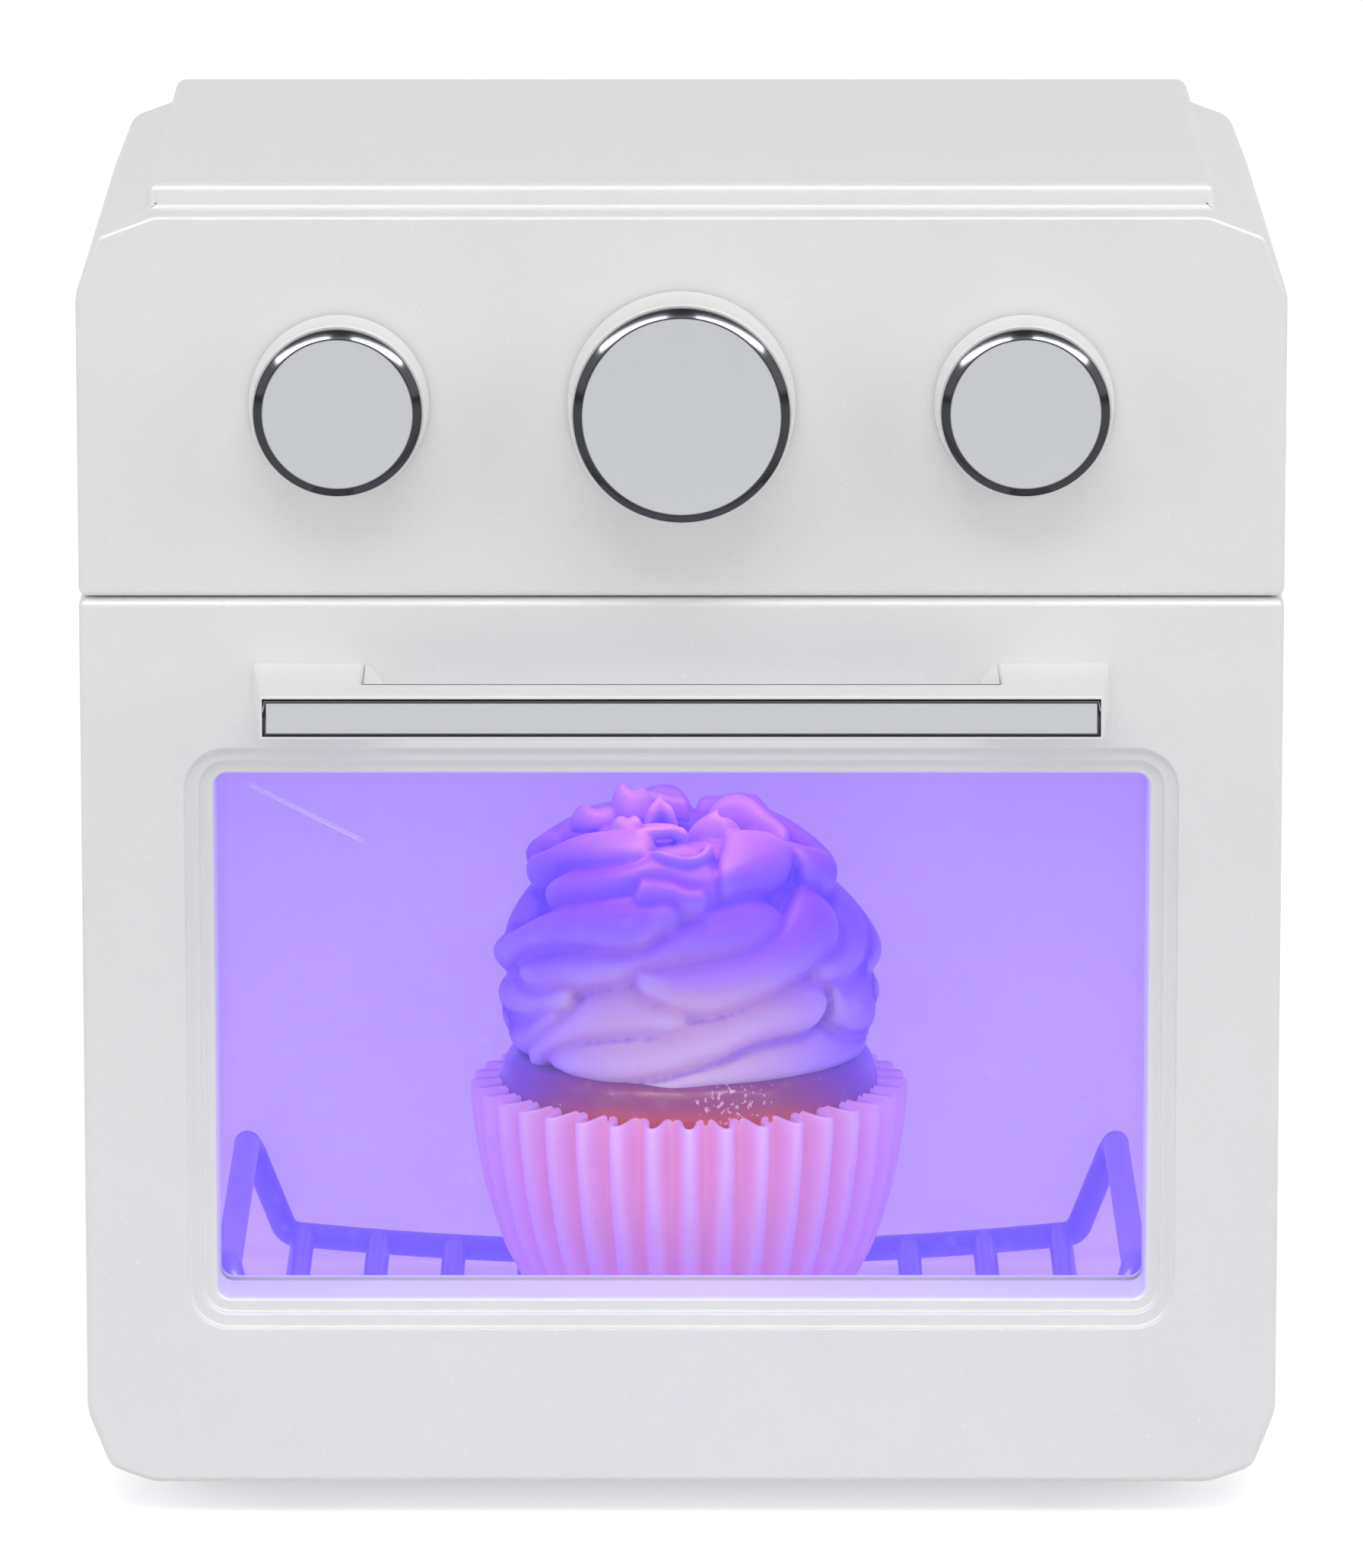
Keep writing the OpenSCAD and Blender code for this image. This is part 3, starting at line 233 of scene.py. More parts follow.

# %% [markdown]
# ## The cupcake's plastics
# Case, cake and icing are three mouldings: the case a satin pink, the cake a glossy mauve and the icing
# a soft lilac. Over these lie painted light: the lamp's violet towards the icing's crown and on the far
# sides, a red glow at the cake's foot, painted shade in creases and under the icing, and painted highlights.

# %% Cupcake plastics
def icing_plastic_finish():
    material, tree, place = start("icing_with_painted_light")
    low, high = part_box("cupcake_icing")
    axes = add(tree, "ShaderNodeSeparateXYZ", {"Vector": place})
    share = add(tree, "ShaderNodeMapRange", {
        "Value": axes.outputs["Z"], "From Min": low.z, "From Max": high.z})
    # Painted lamp light on the icing's lilac: violet deepens upwards, and the lower front is paler where
    # white light from the window falls.
    ramp = add(tree, "ShaderNodeValToRGB", {"Fac": share.outputs["Result"]})
    stops = [(0.0, "#E8C8DE"), (0.32, "#D2A2D2"), (0.5, "#A464EE"), (0.7, "#8E4AF0"),
             (0.85, "#8E4AF0")]
    while len(ramp.color_ramp.elements) < len(stops):
        ramp.color_ramp.elements.new(0.5)
    for element, (position, code) in zip(ramp.color_ramp.elements, stops):
        element.position = position
        element.color = linear(code)
    # Painted lamp light: the far side, away from the window, turns violet.
    back = add(tree, "ShaderNodeMapRange", {
        "Value": axes.outputs["Y"], "From Min": low.y + 1.5 * MM, "From Max": low.y + 10 * MM})
    sides = mixed(tree, back.outputs["Result"], ramp.outputs["Color"], linear("#8846F4"))
    # Painted light: the crown, nearest the lamp, is paler and pinker.
    crown = add(tree, "ShaderNodeMapRange", {
        "Value": share.outputs["Result"], "From Min": 0.74, "From Max": 0.86})
    tone = mixed(tree, crown.outputs["Result"], sides, linear("#A078EC"))
    # Painted shade: creases and the undersides of overhanging folds turn a deeper violet.
    crease = add(tree, "ShaderNodeAttribute", attribute_name="crease").outputs["Fac"]
    deep = add(tree, "ShaderNodeMapRange", {
        "Value": crease, "From Min": 0.05, "From Max": 0.8, "To Max": 0.85})
    upper = add(tree, "ShaderNodeMapRange", {
        "Value": share.outputs["Result"], "From Min": 0.3, "From Max": 0.6})
    shade = mixed(tree, upper.outputs["Result"], linear("#A27ADC"), linear("#6A1CDC"))
    tone = mixed(tree, deep.outputs["Result"], tone, shade)
    # Painted highlight: proud folds are paler.
    proud = add(tree, "ShaderNodeMapRange", {
        "Value": crease, "From Min": -0.05, "From Max": -0.8, "To Max": 0.4})
    light = mixed(tree, upper.outputs["Result"], linear("#EEE4FF"), linear("#C0A0FF"))
    tone = mixed(tree, proud.outputs["Result"], tone, light)
    cloud = add(tree, "ShaderNodeTexNoise", {"Vector": place, "Scale": 1 / (1.5 * MM), "Detail": 4})
    bump = add(tree, "ShaderNodeBump", {
        "Height": cloud.outputs["Fac"], "Strength": 0.12, "Distance": 0.1 * MM})
    # The emission is a painted violet glow from the lamp.
    finish(tree, add(tree, "ShaderNodeBsdfPrincipled", {
        "Base Color": tone, "Roughness": 0.42, "IOR": 1.5,
        "Emission Color": linear("#7838FF"), "Emission Strength": 0.1,
        "Normal": bump.outputs["Normal"]}))
    return material


icing_plastic = icing_plastic_finish()


def case_plastic_finish():
    """Ridges stay lilac and the grooves between them are a warmer pink; painted lamp light turns the far
    sides violet.
    """
    material, tree, place = start("pink_case_plastic")
    low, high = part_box("cupcake_case")
    axes = add(tree, "ShaderNodeSeparateXYZ", {"Vector": place})
    groove = add(tree, "ShaderNodeAttribute", attribute_name="groove").outputs["Fac"]
    front = mixed(tree, groove, linear("#F2C2EE"), linear("#F4A4CE"))
    # Painted lamp light: the far side, away from the window, turns violet.
    back = add(tree, "ShaderNodeMapRange", {
        "Value": axes.outputs["Y"], "From Min": low.y + 5 * MM, "From Max": low.y + 15 * MM})
    cloud = add(tree, "ShaderNodeTexNoise", {"Vector": place, "Scale": 1 / (3 * MM), "Detail": 3})
    tone = mixed(tree, back.outputs["Result"], front, linear("#DCA8EE"))
    tint = add(tree, "ShaderNodeHueSaturation", {
        "Color": tone, "Value": add(tree, "ShaderNodeMapRange", {
            "Value": cloud.outputs["Fac"], "To Min": 0.94, "To Max": 1.04}).outputs["Result"]})
    # The emission is a painted violet glow from the lamp.
    finish(tree, add(tree, "ShaderNodeBsdfPrincipled", {
        "Base Color": tint.outputs["Color"], "Roughness": 0.36, "IOR": 1.5,
        "Emission Color": linear("#C488F2"), "Emission Strength": 0.2}))
    return material


def cake_plastic_finish():
    """Glossy mauve with painted light: a red glow towards the case, violet at the back, shade under the
    icing, and glints right of the middle.
    """
    material, tree, place = start("glazed_cake_plastic")
    low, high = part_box("cupcake_cake")
    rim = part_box("cupcake_case")[1].z
    axes = add(tree, "ShaderNodeSeparateXYZ", {"Vector": place})
    # Painted lamp light: the back turns violet.
    back = add(tree, "ShaderNodeMapRange", {
        "Value": axes.outputs["Y"], "From Min": low.y + 2 * MM, "From Max": low.y + 7 * MM})
    # Painted glow: light coming through the case reddens the foot of the dome.
    foot = add(tree, "ShaderNodeMapRange", {
        "Value": axes.outputs["Z"], "From Min": rim + 0.7 * MM, "From Max": rim - 0.3 * MM})
    warm = mixed(tree, foot.outputs["Result"], linear("#A8386C"), linear("#D8443E"))
    tone = mixed(tree, back.outputs["Result"], warm, linear("#8430AC"))
    # Painted shade under the icing's foot.
    under = add(tree, "ShaderNodeMapRange", {
        "Value": axes.outputs["Z"], "From Min": rim + 1.65 * MM, "From Max": rim + 2 * MM, "To Max": 0.6})
    tone = mixed(tree, under.outputs["Result"], tone, linear("#54289A"))
    # Painted glints: the peaks of this noise, in a patch right of the middle, turn pale; the same noise also
    # bumps the glaze.
    glint_and_bump_noise = add(tree, "ShaderNodeTexNoise", {"Vector": place, "Scale": 1 / (0.35 * MM), "Detail": 4})
    patch_x = (low.x + high.x) / 2 + 2.6 * MM
    from_patch = add(tree, "ShaderNodeVectorMath", {
        0: place, 1: (patch_x, low.y + 1 * MM, rim + 1.1 * MM)}, operation="DISTANCE")
    patch = add(tree, "ShaderNodeMapRange", {
        "Value": from_patch.outputs["Value"], "From Max": 4 * MM, "To Min": 0.62, "To Max": 0.44})
    total = add(tree, "ShaderNodeMath", {0: glint_and_bump_noise.outputs["Fac"], 1: patch.outputs["Result"]})
    bright = add(tree, "ShaderNodeMapRange", {
        "Value": total.outputs["Value"], "From Min": 1.15, "From Max": 1.18})
    bump = add(tree, "ShaderNodeBump", {
        "Height": glint_and_bump_noise.outputs["Fac"], "Strength": 0.35, "Distance": 0.06 * MM})
    # The emission is a painted violet glow from the lamp.
    finish(tree, add(tree, "ShaderNodeBsdfPrincipled", {
        "Base Color": mixed(tree, bright.outputs["Result"], tone, linear("#ECB8C0")),
        "Roughness": 0.24, "IOR": 1.4, "Emission Color": linear("#7A50E0"),
        "Emission Strength": 0.08, "Normal": bump.outputs["Normal"]}))
    return material


case_plastic = case_plastic_finish()
cake_plastic = cake_plastic_finish()

# %% [markdown]
# ## The window pane and the pieces inside
# The pane is clear polystyrene, thin enough that light passes without bending. It has a faint,
# uneven haze and one fine scratch at its upper left. The pieces inside are ordinary: moulded black
# plastic, rubber, plated steel, green boards, plain cells and wire insulation. Each gets its own
# tone, roughness and a little unevenness.

# %% Clear pane
SCRATCH = (-24.0, 45.0)
SCRATCH_SLOPE = 27
SCRATCH_HALF = 4.6


def clear_pane():
    material, tree, place = start("clear_polystyrene")
    haze = add(tree, "ShaderNodeTexNoise", {"Vector": place, "Scale": 1 / (1.2 * MM), "Detail": 5})
    alpha = add(tree, "ShaderNodeMapRange", {
        "Value": haze.outputs["Fac"], "From Min": 0.6, "From Max": 0.85,
        "To Min": 0.05, "To Max": 0.16})
    along_line = add(tree, "ShaderNodeMapping", {"Vector": place}, vector_type="TEXTURE")
    along_line.inputs["Location"].default_value = (SCRATCH[0] * MM, 0, SCRATCH[1] * MM)
    along_line.inputs["Rotation"].default_value = (0, math.radians(SCRATCH_SLOPE), 0)
    axes = add(tree, "ShaderNodeSeparateXYZ", {"Vector": along_line.outputs["Vector"]})
    width = add(tree, "ShaderNodeMath", {0: axes.outputs["Z"]}, operation="ABSOLUTE")
    reach = add(tree, "ShaderNodeMath", {0: axes.outputs["X"]}, operation="ABSOLUTE")
    fine = add(tree, "ShaderNodeMapRange", {
        "Value": width.outputs[0], "From Min": 0.07 * MM, "From Max": 0.02 * MM, "To Max": 0.8})
    ends = add(tree, "ShaderNodeMapRange", {
        "Value": reach.outputs[0], "From Min": SCRATCH_HALF * MM, "From Max": SCRATCH_HALF * MM * 0.8})
    scratch = add(tree, "ShaderNodeMath", {
        0: fine.outputs["Result"], 1: ends.outputs["Result"]}, operation="MULTIPLY")
    seen = add(tree, "ShaderNodeMath", {
        0: scratch.outputs[0], 1: alpha.outputs["Result"]}, operation="MAXIMUM")
    finish(tree, add(tree, "ShaderNodeBsdfPrincipled", {
        "Base Color": linear("#F4F0FF"), "Roughness": 0.06, "IOR": 1.5,
        "Alpha": seen.outputs[0]}))
    return material


pane = clear_pane()

# %% Hidden pieces
def plain_finish(name, colour, roughness, metallic=0.0, grain=2.0):
    """A plain moulded or plated surface with slight unevenness in tone and gloss."""
    material, tree, place = start(name)
    cloud = add(tree, "ShaderNodeTexNoise", {"Vector": place, "Scale": 1 / (grain * MM), "Detail": 3})
    tint = add(tree, "ShaderNodeHueSaturation", {
        "Color": linear(colour),
        "Value": add(tree, "ShaderNodeMapRange", {
            "Value": cloud.outputs["Fac"], "To Min": 0.88, "To Max": 1.08}).outputs["Result"]})
    rough = add(tree, "ShaderNodeMapRange", {
        "Value": cloud.outputs["Fac"], "To Min": roughness * 0.85, "To Max": roughness * 1.15})
    finish(tree, add(tree, "ShaderNodeBsdfPrincipled", {
        "Base Color": tint.outputs["Color"], "Metallic": metallic,
        "Roughness": rough.outputs["Result"]}))
    return material


FINISHES = {
    "foot_rubber": plain_finish("moulded_rubber", "#56575B", 0.75),
    "screw_steel": plain_finish("zinc_plated_steel", "#B4B7BC", 0.32, 1.0),
    "board": plain_finish("soldermask_laminate", "#2F7D4F", 0.35),
    "switch_plastic": plain_finish("black_nylon", "#2B2C30", 0.45),
    "cell_can": plain_finish("cell_jacket", "#7F8C99", 0.3, 0.6),
    "contact_metal": plain_finish("brass_spring", "#C8B273", 0.3, 1.0),
    "wire_red": plain_finish("red_insulation", "#B8312F", 0.5),
    "wire_black": plain_finish("black_insulation", "#2C2C2E", 0.5),
    "white_plastic": white_plastic,
    "liner_plastic": liner_plastic,
    "chrome": chrome,
    "pane": pane,
    "rack_plastic": rack_plastic,
    "led_resin": led_resin,
    "lens_plastic": lens_plastic,
    "case_plastic": case_plastic,
    "cake_plastic": cake_plastic,
    "icing_plastic": icing_plastic,
}
for part in frame["record"]["subparts"]:
    mesh = frame["nodes"][part["node"]].data
    mesh.materials.clear()
    mesh.materials.append(FINISHES[part["material_slot"]])

# %% [markdown]
# ## Rounded profiles
# Many pieces here are a profile that is swept or spun, and a moulded profile has no sharp corner.
# This helper takes a profile of straight runs and a radius for each corner, and puts a few points
# on a curve in place of the corner, never longer than the runs beside it allow.

# %% Profile helper
def corner(a, b, c, radius, steps=4):
    """Points that round the corner b between a and c, in profile coordinates."""
    a, b, c = Vector(a), Vector(b), Vector(c)
    u = (a - b).normalized()
    v = (c - b).normalized()
    half_angle = math.acos(max(-1, min(1, u.dot(v)))) / 2
    reach = min(radius / math.tan(half_angle), 0.45 * min((a - b).length, (c - b).length))
    first, last = b + u * reach, b + v * reach
    points = []
    for i in range(steps + 1):
        t = i / steps
        points.append(first * (1 - t) ** 2 + b * 2 * t * (1 - t) + last * t * t)
    return points


def rounded(profile, radii):
    """The profile with each inner corner rounded by its radius in mm, or kept where that is 0."""
    points = [Vector(profile[0])]
    for i in range(1, len(profile) - 1):
        if radii[i]:
            points += corner(profile[i - 1], profile[i], profile[i + 1], radii[i])
        else:
            points.append(Vector(profile[i]))
    return points + [Vector(profile[-1])]


# %% [markdown]
# ## Softened copies of the moulded pieces
# No moulded edge is sharp. A CAD mesh is loose triangles, so a copy is welded and its flat regions
# are merged into single faces. Each real edge then gets a bevel weight, and one Bevel modifier
# rounds them all at once, each by its own radius. Rounding them in one go keeps the corners, where
# edges of different radius meet, clean. Weighted normals keep the flats flat.

# %% Softening helper
def to_mesh(bm, name):
    """Turns a bmesh into an object of the scene."""
    mesh = bpy.data.meshes.new(name)
    bm.to_mesh(mesh)
    bm.free()
    piece = bpy.data.objects.new(name, mesh)
    bpy.context.scene.collection.objects.link(piece)
    return piece


def dress(piece, body, slot, *nodes):
    """Gives a finished piece its material and its body, and hides the nodes that it stands for."""
    piece.data.materials.append(FINISHES[slot])
    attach(piece, body)
    if nodes:
        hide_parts(*nodes)
    return piece


def flat_region(face, seen):
    """Neighbouring faces that lie in one plane with a face."""
    region, waiting = [], [face]
    seen.add(face)
    while waiting:
        current = waiting.pop()
        region.append(current)
        for edge in current.edges:
            for other in edge.link_faces:
                if other not in seen and other.normal.dot(face.normal) > 0.99999:
                    seen.add(other)
                    waiting.append(other)
    return region


def rim_loops(region):
    """The closed rows of points that bound a flat region, the longest first."""
    inside = set(region)
    links = {}
    for edge in {e for f in region for e in f.edges}:
        if any(f not in inside for f in edge.link_faces):
            for vert in edge.verts:
                links.setdefault(vert, []).append(edge.other_vert(vert))
    loops, seen = [], set()
    for vert in links:
        if vert in seen:
            continue
        loop, waiting = [], [vert]
        seen.add(vert)
        while waiting:
            current = waiting.pop()
            loop.append(current.co.copy())
            for other in links[current]:
                if other not in seen:
                    seen.add(other)
                    waiting.append(other)
        loops.append(loop)
    return sorted(loops, key=lambda row: -max((a - row[0]).length for a in row))


def merge_flats(bm):
    """Merges the triangles of each flat region; a region round a hole is cut through the hole."""
    cuts, seen = [], set()
    for face in list(bm.faces):
        if face not in seen:
            region = flat_region(face, seen)
            for hole in rim_loops(region)[1:]:
                middle = sum(hole, Vector()) / len(hole)
                cuts.append((middle, face.normal.copy()))
    for middle, normal in cuts:
        faces = [f for f in bm.faces if f.normal.dot(normal) > 0.9999
                 and abs(normal.dot(f.verts[0].co - middle)) < 0.005 * MM]
        across = Vector((0, 1, 0)) if abs(normal.x) > 0.7 else Vector((1, 0, 0))
        geom = faces + list({e for f in faces for e in f.edges}) + list({v for f in faces for v in f.verts})
        cut = bmesh.ops.bisect_plane(bm, geom=geom, dist=0.001 * MM, plane_co=middle, plane_no=across)
        for edge in (g for g in cut["geom_cut"] if isinstance(g, bmesh.types.BMEdge)):
            edge.seam = edge.is_manifold and edge.calc_face_angle() < 0.01
    bmesh.ops.dissolve_limit(bm, angle_limit=math.radians(0.3), verts=bm.verts, edges=bm.edges,
                             delimit={"SEAM"})


def softened(node, body, slot, radius_of, widest, segments=4, rework=None):
    """Copy of a node whose edges are rounded by radius_of(middle, direction, convex), in mm."""
    bm = bmesh.new()
    bm.from_mesh(frame["nodes"][node].data)
    bmesh.ops.remove_doubles(bm, verts=bm.verts, dist=0.002 * MM)
    merge_flats(bm)
    if rework:
        rework(bm)
    weight = bm.edges.layers.float.new("bevel_weight_edge")
    softened_edges = 0
    for edge in bm.edges:
        if len(edge.link_faces) != 2:
            continue
        turn = math.degrees(edge.calc_face_angle())
        edge.smooth = turn < 30
        if turn < 14:
            continue
        middle = (edge.verts[0].co + edge.verts[1].co) / 2
        along = (edge.verts[1].co - edge.verts[0].co).normalized()
        radius = radius_of(middle / MM, along, edge.is_convex)
        if radius:
            edge[weight] = radius / widest
            edge.smooth = True
            softened_edges += 1
    for face in bm.faces:
        face.smooth = True
    piece = to_mesh(bm, node + "_soft")
    bevel = piece.modifiers.new("edge_radii", "BEVEL")
    bevel.limit_method = "WEIGHT"
    bevel.width = widest * MM
    bevel.segments = segments
    bevel.use_clamp_overlap = False
    bevel.loop_slide = False
    normals = piece.modifiers.new("flat_normals", "WEIGHTED_NORMAL")
    normals.keep_sharp = True
    print(node, "faces", len(piece.data.polygons), "rounded edges", softened_edges)
    return dress(piece, body, slot, node)


# %% [markdown]
# ## The casing
# The outline of the body is one prism with cut corners, and shell, panel, door and tray are slices
# of it. Their long edges share one radius so that the slices line up, while the edges at a seam
# stay crisp, because there two mouldings meet.

# %% Radii of the casing
OUTLINE_R = 0.55
SEAM_R = 0.1
PLATEAU_R = 0.7
PLATEAU_FOOT_R = 0.3
REAR_R = 0.35
MOUTH_R = 0.2
PLATEAU_SIDE = 4.4
PLATEAU_FRONT = 2.9
PLATEAU_BACK = 2.5
OUTLINE_TOP = 1.45
OUTLINE_FOOT = 1.4
PANEL_T = 2.4
DOOR_SPACE = 7.3
half = side_x / MM
ledge = ledge_z / MM
front = front_y / MM
rear = rear_y / MM
shell_front = shell_low.y / MM
plateau_x = half - PLATEAU_SIDE
plateau_y = (front + PLATEAU_FRONT, rear - PLATEAU_BACK)


def near(a, b, reach=0.06):
    """True where two measures in mm are the same but for rounding."""
    return abs(a - b) < reach


def on_outline(p):
    """True on the outer skin of the body, where its long edges run."""
    return abs(p.x) > half - 0.1 or p.z > ledge - OUTLINE_TOP or p.z < tray_low.z / MM + OUTLINE_FOOT


def shell_radius(p, along, convex):
    on_plateau = near(abs(p.x), plateau_x) or near(p.y, plateau_y[0]) or near(p.y, plateau_y[1])
    if p.z > ledge + 0.1:
        return PLATEAU_R
    if on_plateau and p.z > ledge - 0.4 and not convex:
        return PLATEAU_FOOT_R
    if abs(along.y) > 0.9:
        return OUTLINE_R if convex and on_outline(p) else 0
    if near(p.y, rear) and convex:
        return REAR_R
    if near(p.y, front + DOOR_SPACE) and convex:
        return MOUTH_R
    if near(p.y, shell_front) and convex:
        return SEAM_R
    return 0


softened("outer_shell", "casing", "white_plastic", shell_radius, 0.7)


# %% Control panel
HOLE_ROW_Z = 72.5
HOLE_ROW_REACH = 3
HOLE_ROW_HALF = 25
HOLE_R = 0.12
PANEL_FRONT_R = 0.4


def panel_radius(p, along, convex):
    if abs(along.y) > 0.9:
        return OUTLINE_R if convex and on_outline(p) else 0
    if near(p.y, front) and convex:
        in_hole = abs(p.z - HOLE_ROW_Z) < HOLE_ROW_REACH and abs(p.x) < HOLE_ROW_HALF
        return HOLE_R if in_hole else PANEL_FRONT_R
    if near(p.y, front + PANEL_T) and convex:
        return SEAM_R
    return 0


softened("control_panel", "casing", "white_plastic", panel_radius, 0.6)


# %% Base tray
def tray_radius(p, along, convex):
    if not convex:
        return 0
    if abs(along.y) > 0.9:
        return OUTLINE_R if on_outline(p) else 0
    if near(p.y, rear):
        return REAR_R
    return 0


softened("base_tray", "casing", "white_plastic", tray_radius, 0.6)


# %% Rear cover and battery hatch
COVER_R = 0.25


def back_radius(p, along, convex):
    return COVER_R if near(p.y, rear) and convex and abs(along.y) < 0.1 else 0


softened("rear_cover", "casing", "white_plastic", back_radius, 0.25)
softened("battery_hatch", "casing", "white_plastic", back_radius, 0.25)

# %% [markdown]
# ## The door
# The door's front carries a window with a recess in two shallow steps, and the wall of the window
# runs deep to the pane. The steps are soft: each has a rounded nose and a fillet at its foot. The
# top edge of the door has the largest radius, which shows as a bright line under the seam.

# %% Door panel
win_low, win_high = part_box("window_pane")
LAP = 1.5
win_x = win_high.x / MM - LAP
win_z = (win_low.z / MM + LAP, win_high.z / MM - LAP)
WIN_R = 0.8
STEP_W = 0.9
STEP_D = 0.45
SILL = 5.4
SEAM_CLOSE = 0.13
NOSE_R = 0.3
STEP_FILLET = 0.22
SILL_NOSE_R = 0.5
DOOR_TOP_R = 0.75
DOOR_FRONT_R = 0.5
DOOR_BACK_R = 0.12


def step_of(p):
    """How far a point lies outside the window's opening, in mm."""
    return max(abs(p.x) - win_x, win_z[0] - p.z, p.z - win_z[1])


def window_point(co, out, depth):
    """The point that lies beside co, but this far outside the window and this deep, in mm."""
    p = co / MM
    core = Vector((max(WIN_R - win_x, min(win_x - WIN_R, p.x)), 0,
                   max(win_z[0] + WIN_R, min(win_z[1] - WIN_R, p.z))))
    outward = Vector((p.x, 0, p.z)) - core
    ring = core + outward.normalized() * (WIN_R + out)
    return Vector((ring.x, front + depth, ring.z)) * MM


def soft_recess(bm):
    """Replaces the stepped walls of the window by rings that follow a rounded profile."""
    walls = []
    for face in bm.faces:
        depth = face.calc_center_median().y / MM - front
        reach = 2 * STEP_W + 0.05 if depth < 2 * STEP_D + 0.05 else 0.05
        if depth < SILL - 0.1 and all(step_of(v.co / MM) < reach for v in face.verts):
            walls.append(face)
    bmesh.ops.delete(bm, geom=walls, context="FACES")
    rims = [e for e in bm.edges if e.is_boundary]
    back = [e for e in rims if e.verts[0].co.y > (front + 3) * MM]
    loop = [e for e in rims if e.verts[0].co.y < (front + 3) * MM]
    profile = rounded(
        [(2 * STEP_W + 0.3, 0), (2 * STEP_W, 0), (2 * STEP_W, STEP_D), (STEP_W, STEP_D),
         (STEP_W, 2 * STEP_D), (0, 2 * STEP_D), (0, SILL - 0.3)],
        [0, NOSE_R, STEP_FILLET, NOSE_R, STEP_FILLET, SILL_NOSE_R, 0])
    for vert in {v for e in loop for v in e.verts}:
        vert.co = window_point(vert.co, *profile[0])
    for out, depth in profile[1:]:
        grown = bmesh.ops.extrude_edge_only(bm, edges=loop)["geom"]
        for vert in (g for g in grown if isinstance(g, bmesh.types.BMVert)):
            vert.co = window_point(vert.co, out, depth)
        loop = [g for g in grown if isinstance(g, bmesh.types.BMEdge) and g.is_boundary]
    bmesh.ops.bridge_loops(bm, edges=loop + back)
    bmesh.ops.recalc_face_normals(bm, faces=bm.faces)
    print("window profile points", len(profile), "walls replaced", len(walls))


def soft_door(bm):
    """The soft recess, and a top edge that stands nearer to the panel above."""
    soft_recess(bm)
    for vert in bm.verts:
        if near(vert.co.z / MM, door_high.z / MM):
            vert.co.z += SEAM_CLOSE * MM


def door_radius(p, along, convex):
    if step_of(p) < 2 * STEP_W + 0.5:
        return 0
    if abs(along.y) > 0.9:
        return OUTLINE_R if convex and (abs(p.x) > half - 0.1 or p.z < door_low.z / MM + OUTLINE_FOOT) else 0
    if near(p.y, front) and convex:
        return DOOR_TOP_R if near(p.z, door_high.z / MM + SEAM_CLOSE) else DOOR_FRONT_R
    return DOOR_BACK_R if near(p.y, door_high.y / MM) and convex and abs(p.x) > half - 6 else 0


softened("door_panel", "door", "white_plastic", door_radius, 0.75, rework=soft_door)


# %% Inner frame of the door
PANE_AIR = 0.06
FRAME_R = 0.25


def inner_frame_radius(p, along, convex):
    return FRAME_R if convex and near(p.y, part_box("door_inner_frame")[1].y / MM) else 0


def clear_of_pane(bm):
    """Draws the frame's seat slightly back from the pane, so that light reaches between them."""
    for vert in bm.verts:
        if near(vert.co.y / MM, win_high.y / MM, 0.02):
            vert.co.y += PANE_AIR * MM


softened("door_inner_frame", "door", "white_plastic", inner_frame_radius, 0.25, rework=clear_of_pane)

# %% [markdown]
# ## The handle
# A white bar on two flared feet, with a metallised strip let into its front. The bar's edges are
# rounded where fingers go, while the thin rim round the strip is nearly sharp.

# %% Handle
handle_low, handle_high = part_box("handle")
trim_low, trim_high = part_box("handle_trim")
STRIP_END = 26.2
STRIP_RIM_R = 0.12
HANDLE_FOOT_R = 0.22
HANDLE_R = 0.3
TRIM_EDGE = 0.28


def handle_radius(p, along, convex):
    if near(p.y, handle_low.y / MM, 0.1):
        rim = near(p.z, handle_low.z / MM) or near(p.z, handle_high.z / MM) or abs(p.x) > STRIP_END
        return STRIP_RIM_R if rim and convex else 0
    if p.y > handle_high.y / MM - 0.05:
        return HANDLE_FOOT_R if convex and abs(along.y) < 0.1 else 0
    if p.y < handle_low.y / MM + 0.5 or not convex:
        return 0
    return HANDLE_R


softened("handle", "door", "white_plastic", handle_radius, 0.4)

# %% Handle trim
bm = bmesh.new()
size = trim_high - trim_low
middle = (trim_low + trim_high) / 2
bmesh.ops.create_cube(bm, size=1)
bmesh.ops.scale(bm, vec=size, verts=bm.verts)
bmesh.ops.translate(bm, vec=middle, verts=bm.verts)
front_edges = [e for e in bm.edges if all(v.co.y < middle.y for v in e.verts)]
bmesh.ops.bevel(bm, geom=front_edges, offset=TRIM_EDGE * MM, segments=5, profile=0.5,
                affect="EDGES", material=-1)
for face in bm.faces:
    face.smooth = True
# rim is a painted dark reflection: the strip's ends, sides and lower bevel are dark, while the front and
# most of the top bevel stay bright under a thin dark line
rim = bm.verts.layers.float.new("rim")
for vert in bm.verts:
    above = (vert.co.z > trim_high.z - (TRIM_EDGE + 0.01) * MM and vert.co.y < trim_low.y + 0.2 * MM
             and abs(vert.co.x) < trim_high.x - (TRIM_EDGE + 0.01) * MM)
    vert[rim] = 0 if above or vert.co.y < trim_low.y + 0.01 * MM else 1
trim = to_mesh(bm, "handle_trim_strip")
trim.modifiers.new("flat_normals", "WEIGHTED_NORMAL")
dress(trim, "door", "chrome", "handle_trim")
print("trim", [round(v / MM, 2) for v in size])

# %% [markdown]
# ## Knobs and caps
# A knob is a body of revolution, so it is spun from a profile. The profile starts and ends on the
# axis, which closes the solid, and its corners are rounded with short arcs. The cap is a separate
# disc with a wide bevel round its rim, and its peg sits in the body.

